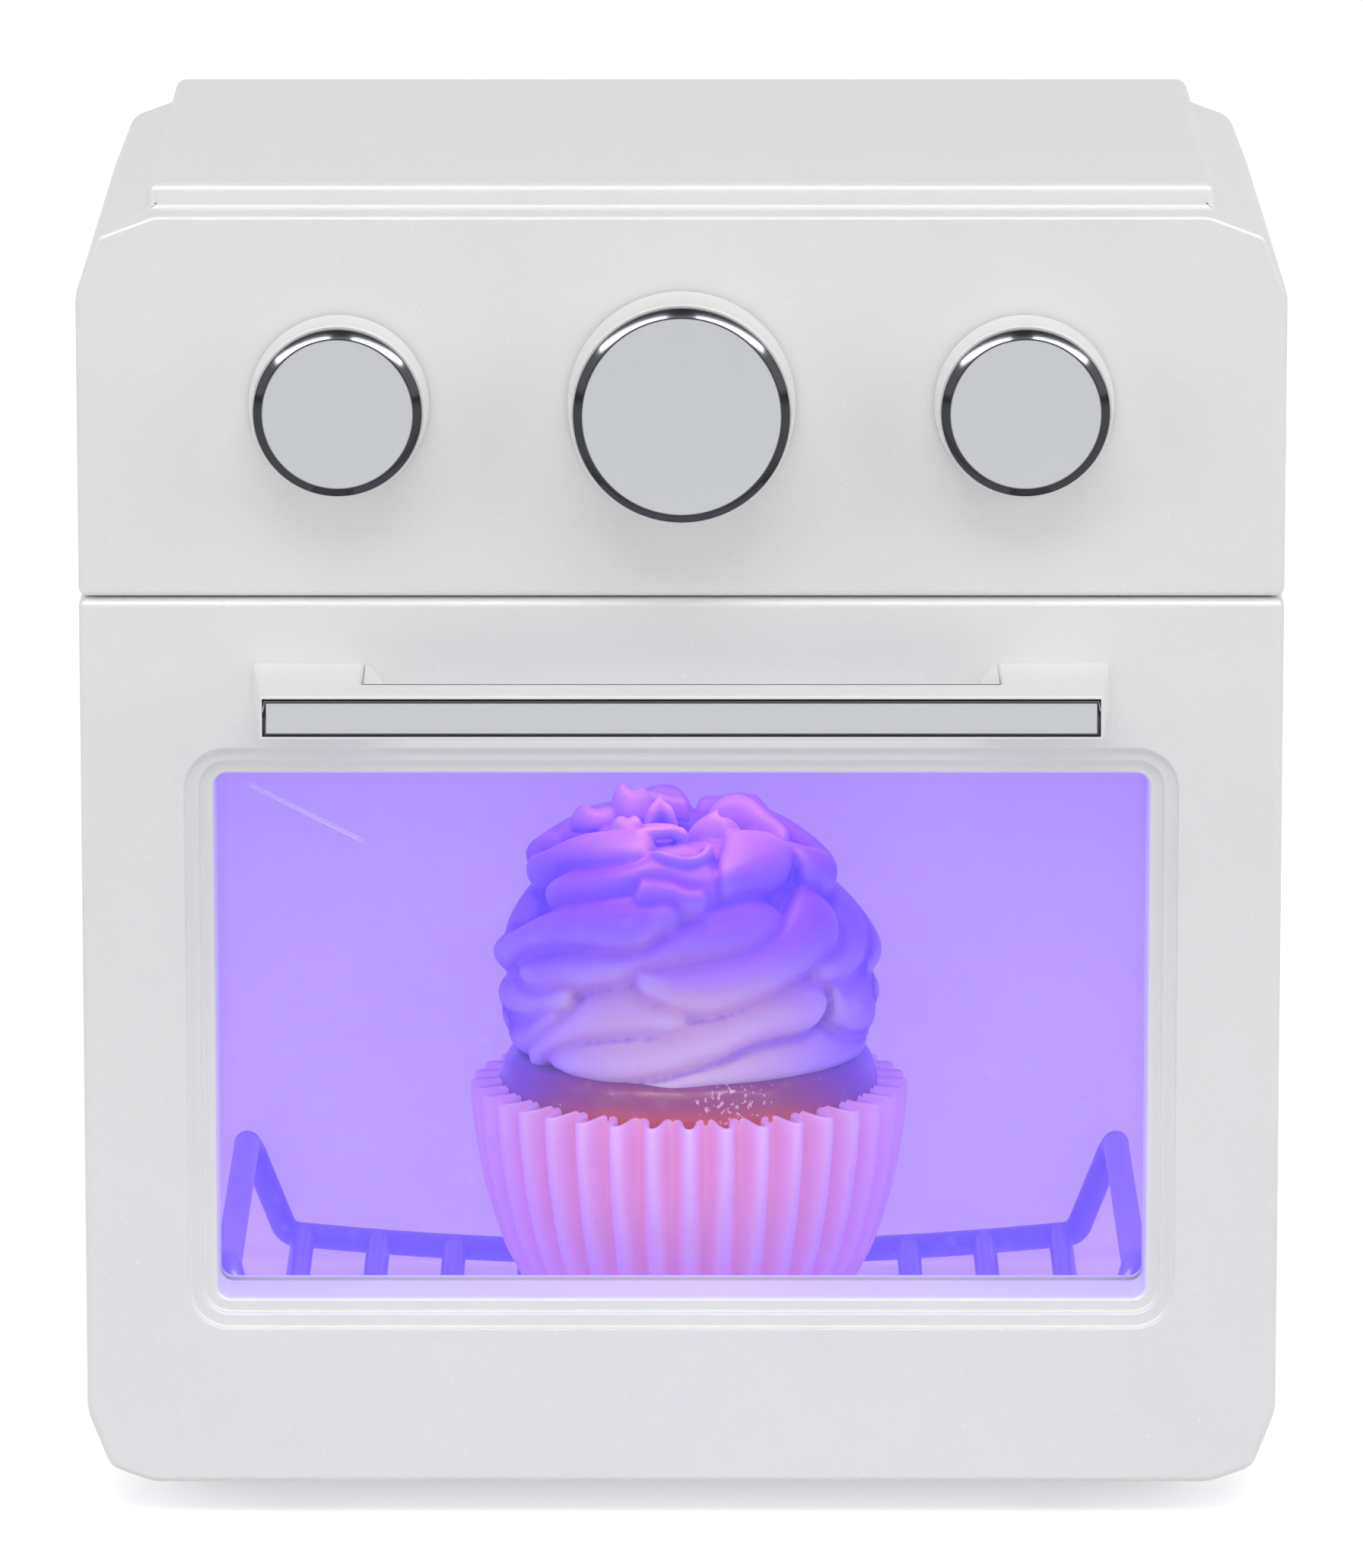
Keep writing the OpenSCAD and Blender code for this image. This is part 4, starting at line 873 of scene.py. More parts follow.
# %% Spinning helper
def spun(name, points, centre, steps=96, face_radius=None):
    """Solid spun about the Y axis through centre; a point is radius and reach to the front, in mm."""
    bm = bmesh.new()
    rim = bm.verts.layers.float.new("rim")
    verts = [bm.verts.new(centre + Vector((p[0] * MM, -p[1] * MM, 0))) for p in points]
    edges = [bm.edges.new(pair) for pair in zip(verts, verts[1:])]
    bmesh.ops.spin(bm, geom=verts + edges, cent=centre, axis=(0, 1, 0),
                   angle=2 * math.pi, steps=steps, use_merge=True)
    bmesh.ops.remove_doubles(bm, verts=bm.verts, dist=0.001 * MM)
    bmesh.ops.recalc_face_normals(bm, faces=bm.faces)
    # Points outside face_radius, the cap's bevel and side, get rim 1: a painted dark reflection.
    for vert in bm.verts:
        from_axis = math.hypot(vert.co.x - centre.x, vert.co.z - centre.z) / MM
        vert[rim] = 1 if face_radius and from_axis > face_radius else 0
    for face in bm.faces:
        face.smooth = True
    for edge in bm.edges:
        edge.smooth = len(edge.link_faces) != 2 or edge.calc_face_angle() < math.radians(40)
    piece = to_mesh(bm, name)
    piece.modifiers.new("flat_normals", "WEIGHTED_NORMAL").keep_sharp = True
    return piece


# %% Knobs
CAP_T = 0.9
CAP_BEVEL = 0.5
CAP_LIP = 0.12
TAPER = 0.2
GAP = 0.25
PEG_R = 1
PEG = 1.4
SOCKET = 1.5
SHAFT_R = 1.5
SCREW_R = 0.75
SCREW_HOLE = 2.6
for side in ("left", "centre", "right"):
    low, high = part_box(side + "_knob")
    cap_low, cap_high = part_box(side + "_knob_cap")
    centre = Vector(((low.x + high.x) / 2, front_y, (low.z + high.z) / 2))
    r = (high.x - low.x) / 2 / MM
    reach = (front_y - cap_low.y) / MM
    shaft = (high.y - front_y) / MM
    top = reach - CAP_T
    body = [(0, top - SOCKET), (PEG_R, top - SOCKET), (PEG_R, top), (r - TAPER, top), (r, GAP),
            (SHAFT_R, GAP), (SHAFT_R, -shaft), (SCREW_R, -shaft), (SCREW_R, SCREW_HOLE - shaft),
            (0, SCREW_HOLE - shaft)]
    radii = [0, 0, 0.05, 0.14, 0.14, 0, 0.1, 0, 0, 0]
    knob = spun(side + "_knob_body", rounded(body, radii), centre)
    dress(knob, side + "_dial", "white_plastic", side + "_knob")
    cap_r = (cap_high.x - cap_low.x) / 2 / MM
    cap_face = cap_r - CAP_BEVEL - CAP_LIP
    cap = [(0, reach), (cap_face, reach), (cap_r - CAP_BEVEL, reach), (cap_r, reach - 0.8 * CAP_BEVEL),
           (cap_r, top), (PEG_R, top), (PEG_R, top - PEG), (0, top - PEG)]
    cap_radii = [0, 0, 0.1, 0.1, 0.05, 0, 0.1, 0]
    disc = spun(side + "_knob_disc", rounded(cap, cap_radii), centre, face_radius=cap_face + 0.01)
    dress(disc, side + "_dial", "chrome", side + "_knob_cap")
    print(side, "knob radius", round(r, 2), "reach", round(reach, 2))

# %% [markdown]
# ## The liner and the rack
# The liner is a thin box with soft corners, open to the front. Only its inner edges show, so they
# get a generous fillet. The rack is bent wire in looks, moulded in one piece: its CAD mesh has the
# right shape already, and a welded copy lets it shade as the round bar that it is.

# %% Cavity liner
LINER_T = 0.8
LINER_FILLET = 1.2
LINER_EDGE_R = 0.15


def liner_radius(p, along, convex):
    if not convex and near(p.y, liner_high.y / MM - LINER_T, 0.1):
        return LINER_FILLET
    return LINER_EDGE_R if convex and near(p.y, liner_low.y / MM) and abs(along.y) < 0.1 else 0


softened("cavity_liner", "casing", "liner_plastic", liner_radius, 1.2)

# %% Wire rack
def smooth_copy(node, name, body, slot, angle=40):
    """A welded copy of a node that shades smooth wherever it turns by less than angle."""
    bm = bmesh.new()
    bm.from_mesh(frame["nodes"][node].data)
    bmesh.ops.remove_doubles(bm, verts=bm.verts, dist=0.002 * MM)
    for face in bm.faces:
        face.smooth = True
    for edge in bm.edges:
        edge.smooth = len(edge.link_faces) != 2 or edge.calc_face_angle() < math.radians(angle)
    return dress(to_mesh(bm, name), body, slot, node)


smooth_copy("wire_rack", "wire_rack_bars", "rack", "rack_plastic")

# %% [markdown]
# ## Rings that grow
# Case, cake and icing all start from one ring of points that is extruded again and again. Every
# point remembers its angle round the ring, and a formula puts it in place from that angle, so the
# rings stay in step however far they are pushed about.

# %% Ring helpers
def first_ring(bm, count, place):
    """A closed ring of points, each put where place(angle) says; gives its edges."""
    layer = bm.verts.layers.float.get("angle") or bm.verts.layers.float.new("angle")
    verts = bmesh.ops.create_circle(bm, cap_ends=False, radius=1, segments=count)["verts"]
    for vert in verts:
        vert[layer] = math.atan2(vert.co.y, vert.co.x)
        vert.co = place(vert[layer])
    return list({e for v in verts for e in v.link_edges})


def grow_ring(bm, edges, place):
    """Extrudes a ring of edges and puts each new point where place(angle) says."""
    layer = bm.verts.layers.float["angle"]
    grown = bmesh.ops.extrude_edge_only(bm, edges=edges)["geom"]
    for vert in (g for g in grown if isinstance(g, bmesh.types.BMVert)):
        vert.co = place(vert[layer])
    return [g for g in grown if isinstance(g, bmesh.types.BMEdge) and g.is_boundary]


def closed(bm):
    """Closes the open ends, turns the faces outwards and shades them smooth."""
    bmesh.ops.holes_fill(bm, edges=bm.edges, sides=0)
    bmesh.ops.recalc_face_normals(bm, faces=bm.faces)
    for face in bm.faces:
        face.smooth = True


def polar(turn, r, z):
    """Point in mm at an angle and radius round the cupcake's axis, as a place in metres."""
    return cup + Vector((r * math.cos(turn), r * math.sin(turn), z)) * MM


# %% [markdown]
# ## The fluted case
# The case is a thin wall folded into deep pleats, like a paper one. Ridges and grooves are a wave
# of the angle, broadened so that both are wide with steep flanks between them. It is deep at the
# rim and shallow at the foot. The wall keeps its thickness on the slopes because the inner side
# steps further in where the wave is steep. The rim is a rounded lip, a little higher in the
# grooves.

# %% Case
case_low, case_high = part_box("cupcake_case")
cup = Vector(((case_low.x + case_high.x) / 2, (case_low.y + case_high.y) / 2, 0))
FLUTES = 36
FLUTE_STEPS = 16
WALL = 0.5
RIM_PLEAT = 2.0
FOOT_PLEAT = 0.5
RIM_WAVE = 0.3
BREADTH = 1.6


def pleat(turn):
    """1 on a ridge and 0 in a groove; both are broad, with steep flanks between them."""
    wave = math.cos(FLUTES * turn)
    return 0.5 + 0.5 * wave * math.sqrt((1 + BREADTH) / (1 + BREADTH * wave ** 2))


def pleat_slope(turn):
    """How steeply the pleat rises with the angle."""
    step = 0.001
    return (pleat(turn + step) - pleat(turn - step)) / (2 * step)


def case_point(turn, r, z, inset, wave):
    """Point on the pleated wall: ridge radius r, inset into the wall, and the rim's wave."""
    share = (z - case_low.z / MM) / (case_high.z - case_low.z) * MM
    depth = FOOT_PLEAT + (RIM_PLEAT - FOOT_PLEAT) * max(0, share) ** 1.3
    radius = r - depth * (1 - pleat(turn))
    slope = depth * pleat_slope(turn) / radius
    return polar(turn, radius - inset * math.sqrt(1 + slope ** 2), z - wave * pleat(turn))


def case_rings():
    """Ridge radius, height, inset and wave of each ring in mm: up outside, over, and down."""
    z0, z1 = case_low.z / MM, case_high.z / MM
    outer = [(9.6, 0), (10.0, 0.5), (10.7, 1.6), (11.4, 2.7), (12.2, 4.3), (12.9, 6.2),
             (13.45, 8.2), (13.85, 10.2), (14.15, 12.2), (14.32, 13.8)]
    rings = [(r, z0 + up, 0, RIM_WAVE * (up / 15) ** 2) for r, up in outer]
    for i in range(7):
        around = math.pi * i / 6
        rings.append((14.4, z1 - 0.25 + 0.25 * math.sin(around), WALL * (1 - math.cos(around)) / 2,
                      RIM_WAVE))
    rings += [(r, z0 + up, WALL, RIM_WAVE * (up / 15) ** 2) for r, up in outer[:1:-1]]
    return rings


bm = bmesh.new()
groove = bm.verts.layers.float.new("groove")
loop = first_ring(bm, FLUTES * FLUTE_STEPS, lambda turn: polar(turn, 8.9, case_low.z / MM))
for r, z, inset, wave in case_rings():
    loop = grow_ring(bm, loop, lambda turn: case_point(turn, r, z, inset, wave))
angle = bm.verts.layers.float["angle"]
for vert in bm.verts:
    vert[groove] = 1 - pleat(vert[angle])
closed(bm)
case = to_mesh(bm, "cupcake_case_fluted")
dress(case, "cupcake", "case_plastic", "cupcake_case")
print("case faces", len(case.data.polygons))

# %% [markdown]
# ## The cake
# Only a low dome of cake shows between case and icing. Slow noise pushes its surface about,
# because the glaze of the real one is uneven and catches the light in small specks.

# %% Cake
cake_low, cake_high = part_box("cupcake_cake")
rim_z = case_high.z / MM
cake_rings = [(9.0, cake_low.z / MM + 0.6), (10.6, rim_z - 9), (11.5, rim_z - 5),
              (12.0, rim_z - 1.6), (12.35, rim_z - 0.8)]
for i in range(12):
    share = i / 11
    cake_rings.append((12.45 - 1.4 * share ** 1.7, rim_z - 0.4 + 2.4 * math.sin(share * math.pi / 2)))
cake_rings += [(8, cake_high.z / MM)]
bm = bmesh.new()
loop = first_ring(bm, 180, lambda turn: polar(turn, 8.6, cake_low.z / MM))
for r, z in cake_rings:
    loop = grow_ring(bm, loop, lambda turn: polar(
        turn,
        r + 0.1 * noise.noise(Vector((3 * math.cos(turn), 3 * math.sin(turn), z))),
        z + 0.1 * noise.noise(Vector((4 * math.cos(turn), 4 * math.sin(turn), r)))))
closed(bm)
cake = to_mesh(bm, "cupcake_cake_dome")
dress(cake, "cupcake", "cake_plastic", "cupcake_cake")

# %% [markdown]
# ## The icing
# The icing was sculpted after piped cream: rolls start low on the left, climb to the right over
# one another, and end in a crown of ruffled petals round a hollow. One height field can't overlap
# itself, so each roll is a closed shell of its own, swept along a line round the cupcake. Its
# points were chosen from the front: how far round they lie in degrees, left of the middle
# negative, and how high the roll's lower and upper edges run there in mm. The back repeats the
# front, half a turn on. A voxel remesh then melts rolls, petals and core into a single skin, and
# one pass of smoothing softens the creases as in a mould. An attribute, crease, keeps how deep each
# point lies and how far the folds above hang over it, and the finish shades the icing by it.

# %% Rolls of icing
ROLLS = [
    (0.0, [(-46, -0.1, 0.4), (-26, -0.6, 0.2), (-11, -0.5, 0.8), (2, 0.0, 1.7), (13, -0.2, 2.6),
           (26, -0.4, 3.5), (42, -0.4, 3.5), (60, -0.4, 3.0), (80, -0.1, 2.0), (100, 0.8, 1.6)]),
    (0.35, [(-54, 0.5, 1.3), (-44, 0.0, 2.6), (-31, -0.2, 3.3), (-21, 0.1, 3.6), (-10, 0.7, 4.0),
            (-3, 1.2, 4.6), (0, 1.4, 5.0), (9, 2.2, 5.2), (16, 3.0, 5.6), (25, 3.5, 6.3),
            (36, 3.6, 6.9), (44, 3.9, 6.7), (50, 4.8, 6.2)]),
    (0.2, [(50, 5.0, 6.3), (54, 3.7, 6.3), (62, 2.6, 6.5), (76, 1.8, 6.6), (90, 1.2, 5.8),
           (104, 1.6, 4.2)]),
    (0.15, [(-70, -0.5, 0.7), (-60, 0.4, 2.0), (-51, 1.6, 3.3), (-39, 2.8, 5.2), (-32, 3.2, 6.5),
            (-24, 3.5, 7.2), (-18, 3.7, 7.4), (-15, 3.8, 6.9), (-12, 4.0, 6.3), (-6, 4.3, 5.6),
            (0, 4.9, 5.3)]),
    (0.1, [(-98, 3.6, 4.6), (-84, 3.2, 5.6), (-71, 3.5, 6.3), (-61, 3.9, 6.0), (-54, 4.3, 5.7),
           (-46, 5.0, 5.7), (-38, 5.9, 6.4)]),
    (0.0, [(-94, 0.6, 2.0), (-80, 0.2, 3.1), (-70, 0.4, 3.6), (-60, 1.3, 3.9), (-50, 3.4, 4.5),
           (-43, 4.7, 5.2)]),
    (0.5, [(-18, 7.3, 7.8), (-14, 6.5, 7.9), (-9, 5.9, 8.1), (-4, 5.3, 8.3), (4, 5.1, 8.7),
           (11, 5.3, 8.9), (18, 5.7, 9.1), (27, 6.3, 9.4), (36, 7.1, 10.0), (48, 7.9, 11.4),
           (58, 8.6, 11.9), (66, 9.8, 11.2)]),
    (0.2, [(-70, 6.4, 6.9), (-62, 6.0, 7.5), (-56, 5.7, 8.1), (-50, 5.7, 8.5), (-43, 6.2, 8.8),
           (-35, 6.6, 9.0), (-30, 7.0, 9.1), (-25, 7.2, 9.0), (-18, 7.7, 9.0), (-14, 7.9, 9.3),
           (-7, 8.3, 10.4), (0, 8.6, 11.3), (9, 8.8, 12.0), (20, 9.1, 12.3), (31, 9.6, 12.0),
           (41, 10.4, 11.6)]),
    (0.7, [(-104, 5.6, 6.4), (-90, 5.8, 7.2), (-80, 6.2, 7.7), (-70, 7.0, 8.5), (-59, 8.1, 9.6),
           (-51, 8.7, 10.4), (-47, 8.9, 10.9), (-36, 9.1, 11.5), (-28, 9.0, 11.9), (-21, 9.0, 12.1),
           (-15, 9.3, 11.6), (-8, 10.4, 11.6), (0, 11.2, 11.7)]),
    (0.35, [(-66, 11.6, 12.2), (-54, 11.3, 12.8), (-41, 11.7, 13.3), (-30, 12.3, 13.6),
            (-23, 12.7, 13.8), (-18, 13.0, 14.0), (-8, 12.8, 14.2), (0, 12.1, 14.2),
            (9, 12.0, 14.0), (13, 12.4, 13.5)]),
    (0.5, [(-21, 12.1, 12.6), (-16, 11.7, 13.0), (-12, 11.6, 13.0), (-6, 11.7, 12.6),
           (0, 11.5, 12.1), (8, 11.8, 12.1)]),
    (0.4, [(-96, 11.9, 12.6), (-83, 12.1, 13.0), (-76, 12.4, 13.9), (-68, 13.0, 14.6),
           (-58, 13.5, 15.0), (-44, 13.7, 15.3), (-30, 13.9, 15.3), (-18, 14.1, 14.6)]),
    (0.7, [(11, 12.4, 13.1), (22, 12.5, 14.5), (34, 12.7, 15.1), (48, 13.1, 14.9),
           (57, 13.7, 14.4)]),
    (0.9, [(55, 12.6, 13.8), (63, 11.8, 14.0), (72, 11.6, 13.4), (80, 12.0, 12.8)]),
    (0.1, [(42, 7.1, 7.8), (54, 6.5, 8.3), (64, 6.5, 9.4), (72, 6.6, 11.0), (80, 6.7, 11.8),
           (92, 6.9, 11.8), (106, 7.6, 11.0)]),
]
ROLL_OVERLAP = 0.15
ROLL_LIP = 0.6
ROLL_TUCK = 0.9
FULLNESS = 0.85
ROLL_HALF_THICKNESS = 1.8
CREASE_PASSES = 26
CREASE_DEPTH = 0.2
SHADE_RAYS = 8
SHADE_GAIN = 2.2
SHADE_REACH = 2.5
FOOT_RADIUS = 12.15
FOOT_INSET = 0.9
BELLY_Z = 3.5
LEFT_RISE = 13.5
RIGHT_RISE = 12.8
VOXEL = 0.185


def body_radius(turn, z):
    """Radius of the icing's plump body in mm: fuller on the upper left than on the right."""
    if z < BELLY_Z:
        return FOOT_RADIUS - FOOT_INSET * ((BELLY_Z - z) / BELLY_Z) ** 2
    left = FOOT_RADIUS * math.sqrt(max(0.02, 1 - ((z - BELLY_Z) / LEFT_RISE) ** 2.6))
    right = FOOT_RADIUS * math.sqrt(max(0.02, 1 - ((z - BELLY_Z) / RIGHT_RISE) ** 2))
    side = (1 + math.sin(math.radians(turn))) / 2
    return left * (1 - side) + right * side


def on_body(turn, z, proud=0):
    """Point on the icing's body: turn in degrees from the front, z and proud in mm."""
    r = body_radius(turn, z) + proud
    return Vector((r * math.sin(math.radians(turn)), -r * math.cos(math.radians(turn)), z))


def point_along(points, t):
    """Point on a smooth curve through a row of points, t from 0 to 1."""
    span = t * (len(points) - 1)
    i = min(int(span), len(points) - 2)
    u = span - i
    a, b, c, d = (Vector(points[max(0, min(len(points) - 1, i + k))]) for k in (-1, 0, 1, 2))
    return 0.5 * (2 * b + (c - a) * u + (2 * a - 5 * b + 4 * c - d) * u ** 2
                  + (3 * b - a - 3 * c + d) * u ** 3)


def swept(bm, section, rings, count=20):
    """A closed shell swept through oval sections; section(t) gives middle and two half axes."""
    def full(share):
        return math.copysign(abs(share) ** FULLNESS, share)

    def oval(t):
        middle, tall, thick = section(t)
        return lambda angle: middle + tall * full(math.cos(angle)) + thick * full(math.sin(angle))

    loop = first_ring(bm, count, oval(0))
    for i in range(1, rings + 1):
        loop = grow_ring(bm, loop, oval(i / rings))


def rounding(t, length):
    """1 along a shell's middle, and a round nose down to 0.05 at both of its ends."""
    inwards = min(t, 1 - t) / length
    return max(0.05, math.sqrt(1 - (1 - min(1, inwards)) ** 2))


def roll(bm, proud, points, half_turn=0):
    """One roll of icing between its lower and upper edges."""
    def section(t):
        turn, low, high = point_along(points, t)
        ends = rounding(t, 0.12)
        foot = on_body(turn + half_turn, low, ROLL_LIP)
        top = on_body(turn + half_turn, high, -ROLL_TUCK)
        ahead = on_body(turn + half_turn + 1, low, ROLL_LIP) - foot
        tall = (top - foot) / 2
        tall += tall.normalized() * ROLL_OVERLAP
        out = ahead.cross(tall).normalized()
        half = min(ROLL_HALF_THICKNESS, 0.5 + tall.length * 0.65)
        middle = (foot + top) / 2 + out * (proud + 0.2 - half - 0.7 * (1 - ends))
        return middle, tall * ends, out * half * ends

    swept(bm, section, 40)


# %% [markdown]
# The crown is a ring of small petals round a hollow. Each is a short leaning wall with a rounded
# lip, drawn along its foot; x runs to the right, y to the back and z up, in mm.

# %% Crown petals and the finished icing
PETALS = [
    (1.7, 1.3, 20, [(-7.8, 0.8, 14.0), (-6.4, 0.0, 14.2), (-4.8, 0.4, 14.3)]),
    (2.5, 1.1, 12, [(-5.2, 0.8, 14.6), (-3.8, 0.2, 14.7), (-2.3, 1.2, 14.7)]),
    (2.2, 0.8, -12, [(-3.0, -2.2, 14.8), (-1.9, -1.3, 14.7), (-0.7, -2.0, 14.8)]),
    (0.8, 0.8, 0, [(-3.1, -2.6, 14.9), (-2.0, -3.5, 14.7), (-0.7, -2.8, 14.9)]),
    (1.6, 1.2, 12, [(-5.0, -3.0, 14.3), (-4.0, -3.8, 14.4), (-2.9, -3.4, 14.5)]),
    (1.0, 0.8, 0, [(-3.8, -5.6, 14.2), (-2.6, -5.2, 14.7), (-1.2, -4.8, 14.8), (-0.2, -5.2, 14.3)]),
    (1.5, 0.7, -8, [(-2.4, -6.4, 13.4), (-1.9, -7.7, 13.2), (-0.6, -8.2, 13.1), (0.7, -7.7, 13.1),
                    (1.1, -6.4, 13.3), (0.4, -5.4, 13.4)]),
    (2.9, 1.0, 22, [(-0.4, -2.2, 13.8), (1.1, -3.8, 13.5), (2.6, -4.2, 13.6), (3.8, -3.0, 14.0)]),
    (2.3, 1.1, 15, [(1.0, 1.4, 14.1), (3.0, 0.8, 14.0), (4.8, -0.4, 13.4), (6.0, -2.2, 12.6)]),
    (2.0, 1.0, 10, [(-4.6, 4.6, 13.8), (-2.4, 5.6, 14.0), (0.2, 5.2, 13.8)]),
    (2.2, 1.0, 15, [(0.4, 5.0, 13.6), (2.8, 4.8, 13.6), (5.0, 3.0, 13.0)]),
    (1.8, 0.9, -8, [(-4.0, 2.6, 14.4), (-2.0, 2.8, 14.6), (0.0, 2.2, 14.4)]),
]


def petal(bm, height, thickness, lean, foot):
    """A short wall along its foot, its top tipped towards the crown's middle by lean degrees."""
    tilt = math.radians(lean)

    def section(t):
        p = point_along(foot, t)
        ahead = (point_along(foot, min(1, t + 0.02)) - point_along(foot, max(0, t - 0.02))).normalized()
        up = (Vector((0, 0, 1)) - ahead * ahead.z).normalized()
        out = ahead.cross(up)
        ends = rounding(t, 0.3)
        tall = up * math.cos(tilt) - out * math.sin(tilt)
        thick = out * math.cos(tilt) + up * math.sin(tilt)
        wave = 1 + 0.12 * math.sin(9 * t + 5 * foot[0][0])
        half_height = tall * height * wave * ends / 2
        return p + half_height, half_height, thick * thickness * ends / 2

    swept(bm, section, 24)


def overhung(vert, tree):
    """How much of the light from above is held off a point by folds that hang over it."""
    shade = 0
    for i in range(SHADE_RAYS):
        turn = 2 * math.pi * i / SHADE_RAYS
        way = vert.normal + Vector((0.5 * math.cos(turn), 0.5 * math.sin(turn), 0.9))
        distance = tree.ray_cast(vert.co + 0.06 * vert.normal, way.normalized(), SHADE_REACH)[3]
        if distance is not None:
            shade += 1 - distance / SHADE_REACH
    return SHADE_GAIN * shade / SHADE_RAYS


bm = bmesh.new()
CORE_DEPTH = 1.5
core = [(z, body_radius(0, z) - CORE_DEPTH) for z in (0, 1, 2, 4, 6, 8, 10, 12, 13, 14)]
core += [(14.4, 5.6), (14.5, 4.4), (14.0, 3.2), (13.4, 1.8)]
loop = first_ring(bm, 96, lambda turn: Vector((9 * math.cos(turn), 9 * math.sin(turn), 0)))
for z, r in core:
    loop = grow_ring(bm, loop, lambda turn: Vector((r * math.cos(turn), r * math.sin(turn), z)))
for proud, points in ROLLS:
    roll(bm, proud, points)
    roll(bm, proud, points, half_turn=180)
for height, thickness, lean, foot in PETALS:
    petal(bm, height, thickness, lean, foot)
closed(bm)
shells = to_mesh(bm, "icing_shells")
melt = shells.modifiers.new("melt", "REMESH")
melt.mode = "VOXEL"
melt.voxel_size = VOXEL
skin = bpy.data.meshes.new_from_object(shells.evaluated_get(bpy.context.evaluated_depsgraph_get()))
bpy.data.objects.remove(shells)
icing_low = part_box("cupcake_icing")[0]
bm = bmesh.new()
bm.from_mesh(skin)
bmesh.ops.smooth_vert(bm, verts=bm.verts, factor=0.5, use_axis_x=True, use_axis_y=True, use_axis_z=True)
even = bm.copy()
for _ in range(CREASE_PASSES):
    bmesh.ops.smooth_vert(even, verts=even.verts, factor=1.0, use_axis_x=True, use_axis_y=True,
                          use_axis_z=True)
crease = bm.verts.layers.float.new("crease")
bm.normal_update()
skin_tree = BVHTree.FromBMesh(bm)
for vert, flat in zip(bm.verts, even.verts):
    depth = max(-1, min(1, (flat.co - vert.co).dot(vert.normal) / CREASE_DEPTH))
    vert[crease] = min(1, (depth if depth < 0 else 0.35 * depth) + overhung(vert, skin_tree))
even.free()
bmesh.ops.scale(bm, vec=(MM, MM, MM), verts=bm.verts)
bmesh.ops.translate(bm, vec=cup + Vector((0, 0, icing_low.z)), verts=bm.verts)
for face in bm.faces:
    face.smooth = True
icing = to_mesh(bm, "cupcake_icing_piped")
dress(icing, "cupcake", "icing_plastic", "cupcake_icing")
print("icing faces", len(icing.data.polygons), "rolls", 2 * len(ROLLS), "petals", len(PETALS))

# %% [markdown]
# ## Studio
# The object stands on a pale floor that bends up into a backdrop. The light is plain and soft: a
# large softbox above and in front, one at each side, and a pale world that fills the shadows. A
# small violet lamp sits under the lens in the cavity's ceiling. Two long strips high up at the
# sides give no diffuse light: they draw the bright crescents on the rims of the caps. The paper
# glows for the camera and for reflections, and not for the light that it throws back, so that it
# looks white while the object is lit at a plain level and keeps its shadow.

# %% Floor and backdrop
PAPER_GLOW = 0.55
SWEEP_HALF = 3
SWEEP_SHIFT = -1.2
SWEEP_WALL = 3
SWEEP_BEND = 0.8
sweep_back = SWEEP_HALF + SWEEP_SHIFT
bm = bmesh.new()
bmesh.ops.create_grid(bm, x_segments=1, y_segments=1, size=SWEEP_HALF)
bmesh.ops.translate(bm, vec=(0, SWEEP_SHIFT, 0), verts=bm.verts)
far = [e for e in bm.edges if all(v.co.y > sweep_back - 0.3 for v in e.verts)]
grown = bmesh.ops.extrude_edge_only(bm, edges=far)["geom"]
raised = [g for g in grown if isinstance(g, bmesh.types.BMVert)]
bmesh.ops.translate(bm, vec=(0, 0, SWEEP_WALL), verts=raised)
fold = [e for e in bm.edges if all(abs(v.co.y - sweep_back) < 0.01 and v.co.z < 0.01 for v in e.verts)]
bmesh.ops.bevel(bm, geom=fold, offset=SWEEP_BEND, segments=24, profile=0.5,
                affect="EDGES", material=-1)
for face in bm.faces:
    face.smooth = True
sweep = to_mesh(bm, "studio_sweep")
paper, tree, place = start("matt_paper")
ray = add(tree, "ShaderNodeLightPath").outputs
seen = add(tree, "ShaderNodeMath", {
    0: add(tree, "ShaderNodeMath", {
        0: ray["Is Camera Ray"], 1: ray["Is Glossy Ray"]}, operation="MAXIMUM").outputs[0],
    1: ray["Is Transmission Ray"]}, operation="MAXIMUM")
pale = add(tree, "ShaderNodeMath", {0: seen.outputs[0], 1: PAPER_GLOW}, operation="MULTIPLY")
finish(tree, add(tree, "ShaderNodeBsdfPrincipled", {
    "Base Color": linear("#E4E4E6"), "Roughness": 0.8, "Emission Color": linear("#FFFFFF"),
    "Emission Strength": pale.outputs[0]}))
sweep.data.materials.append(paper)
sweep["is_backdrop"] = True

# %% Lamps
def softbox(name, place, target, width, height, power, colour="#FFFFFF"):
    """A rectangular lamp that faces its target, in metres and watts."""
    lamp = bpy.data.lights.new(name, "AREA")
    lamp.shape = "RECTANGLE"
    lamp.size = width
    lamp.size_y = height
    lamp.energy = power
    lamp.color = linear(colour)[:3]
    box = bpy.data.objects.new(name, lamp)
    bpy.context.scene.collection.objects.link(box)
    box.location = place
    box.rotation_euler = (Vector(target) - Vector(place)).to_track_quat("-Z", "Y").to_euler()
    return box


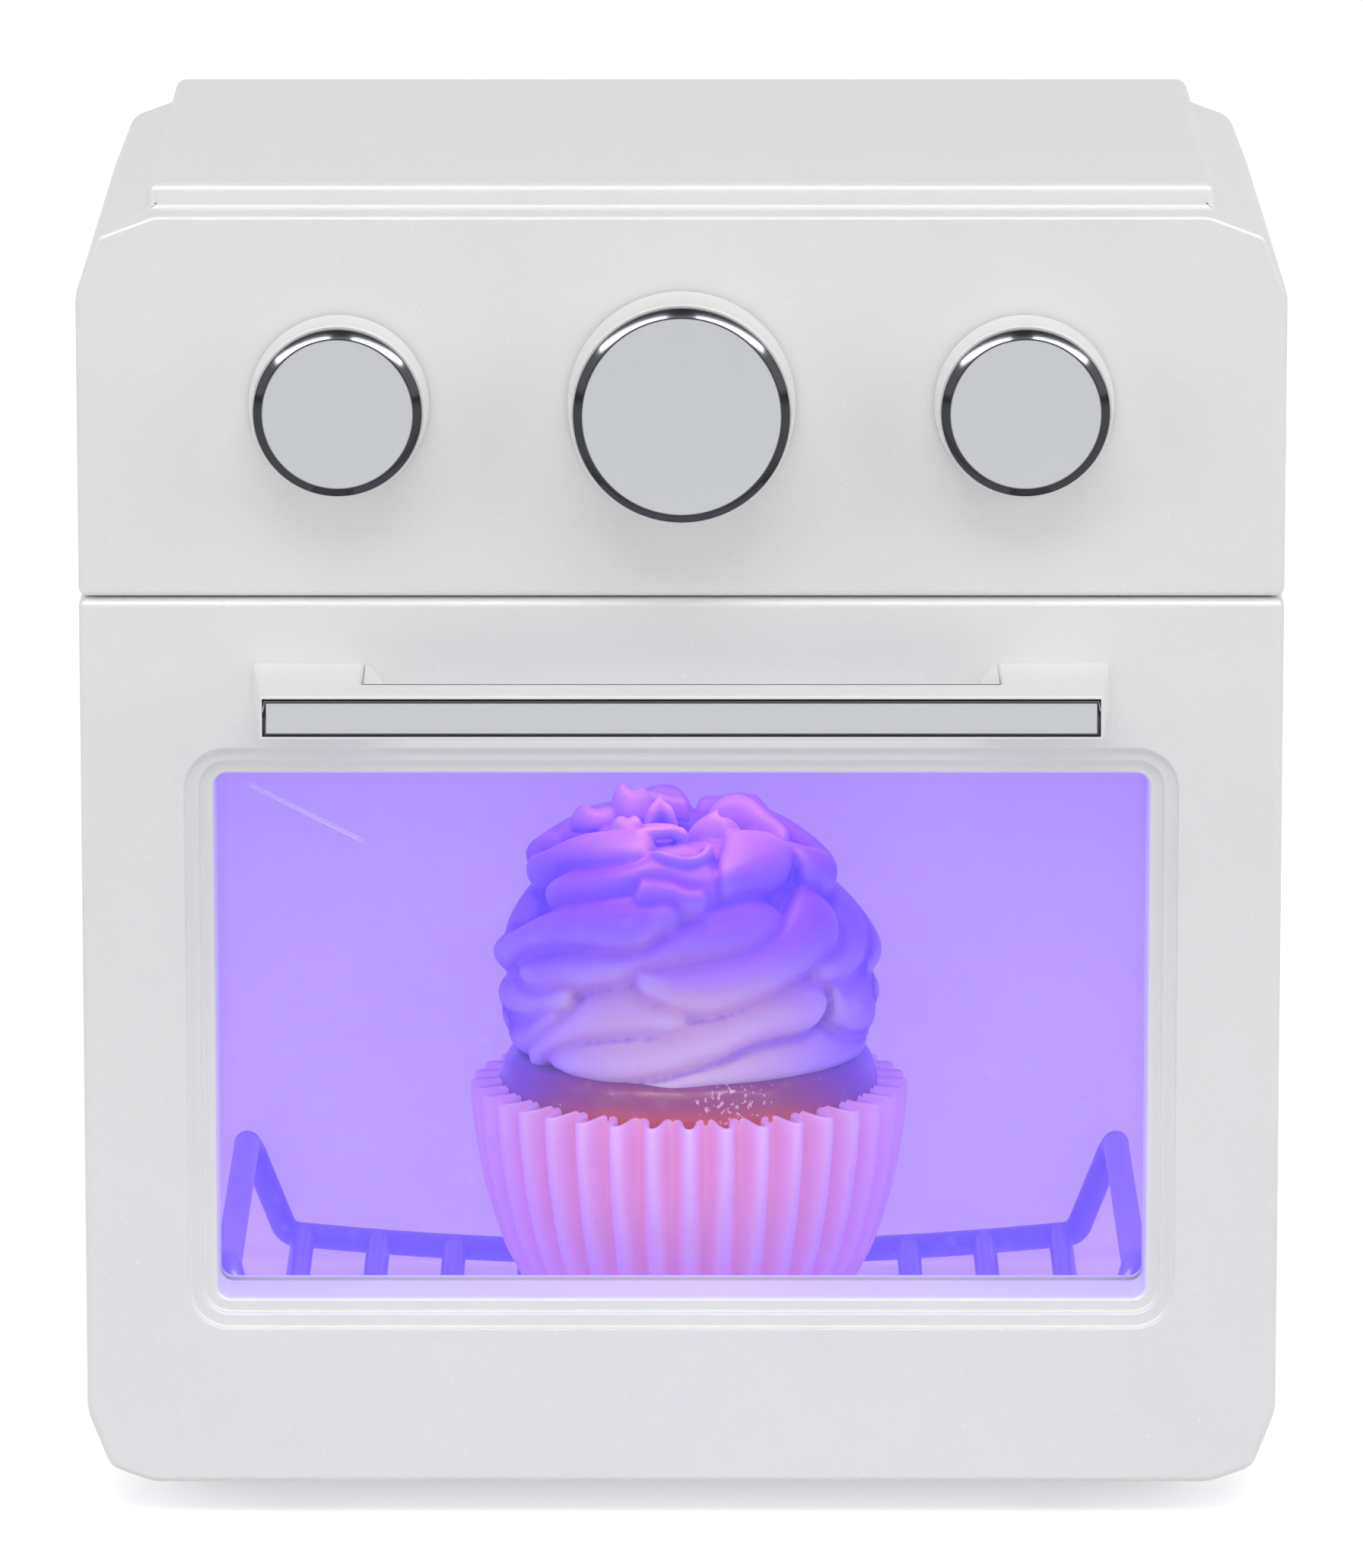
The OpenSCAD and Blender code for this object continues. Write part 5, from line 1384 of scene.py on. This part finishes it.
aim = (0, 0, 0.045)
LAMP_LENGTH = 19
LAMP_WIDTH = 5
STRIP_X = 0.62
softbox("key_softbox", (0, -0.55, 0.75), aim, 0.7, 0.4, 2.3)
softbox("left_softbox", (-0.75, -0.3, 0.4), aim, 0.5, 0.6, 1.2)
softbox("right_softbox", (0.75, -0.3, 0.4), aim, 0.5, 0.6, 1.45)
for side in (-1, 1):
    strip = softbox("rim_light_left" if side < 0 else "rim_light_right", (side * STRIP_X, -0.4, 0.75),
                    (side * STRIP_X, -0.1, 0), 1.0, 0.14, 16)
    strip.visible_diffuse = False
lens_low, lens_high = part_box("lamp_lens")
lens_middle = (lens_low + lens_high) / 2
softbox("cavity_lamp", (lens_middle.x, lens_middle.y, lens_low.z - 0.3 * MM),
        (lens_middle.x, lens_middle.y, 0), LAMP_LENGTH * MM, LAMP_WIDTH * MM, 0.007, "#8A5CFF")

world = bpy.data.worlds.new("pale_room")
world.use_nodes = True
world.node_tree.nodes.clear()
sky = add(world.node_tree, "ShaderNodeBackground", {"Color": linear("#F3F4F4"), "Strength": 0.55})
add(world.node_tree, "ShaderNodeOutputWorld", {"Surface": sky.outputs[0]})
bpy.context.scene.world = world

# %% [markdown]
# ## Camera
# The photograph was taken with a long lens that looked down by 12 degrees, so the verticals hardly
# converge and only a sliver of the top shows.

# %% Camera
PHOTO_LONG_SIDE = 2061
FOCAL_PIXELS = 15180
CAMERA_DOWN = 12
CAMERA_PLACE = (0, -0.7336, 0.1998)
camera_data = bpy.data.cameras.new("portrait_camera")
camera_data.sensor_width = 36
camera_data.lens = FOCAL_PIXELS / PHOTO_LONG_SIDE * camera_data.sensor_width
camera_data.clip_start = 0.01
camera = bpy.data.objects.new("portrait_camera", camera_data)
bpy.context.scene.collection.objects.link(camera)
camera.location = CAMERA_PLACE
camera.rotation_euler = (math.radians(90 - CAMERA_DOWN), 0, 0)
bpy.context.scene.camera = camera
bpy.context.scene.view_settings.view_transform = "Standard"
print("lens", round(camera_data.lens, 1), "mm")

low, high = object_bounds()
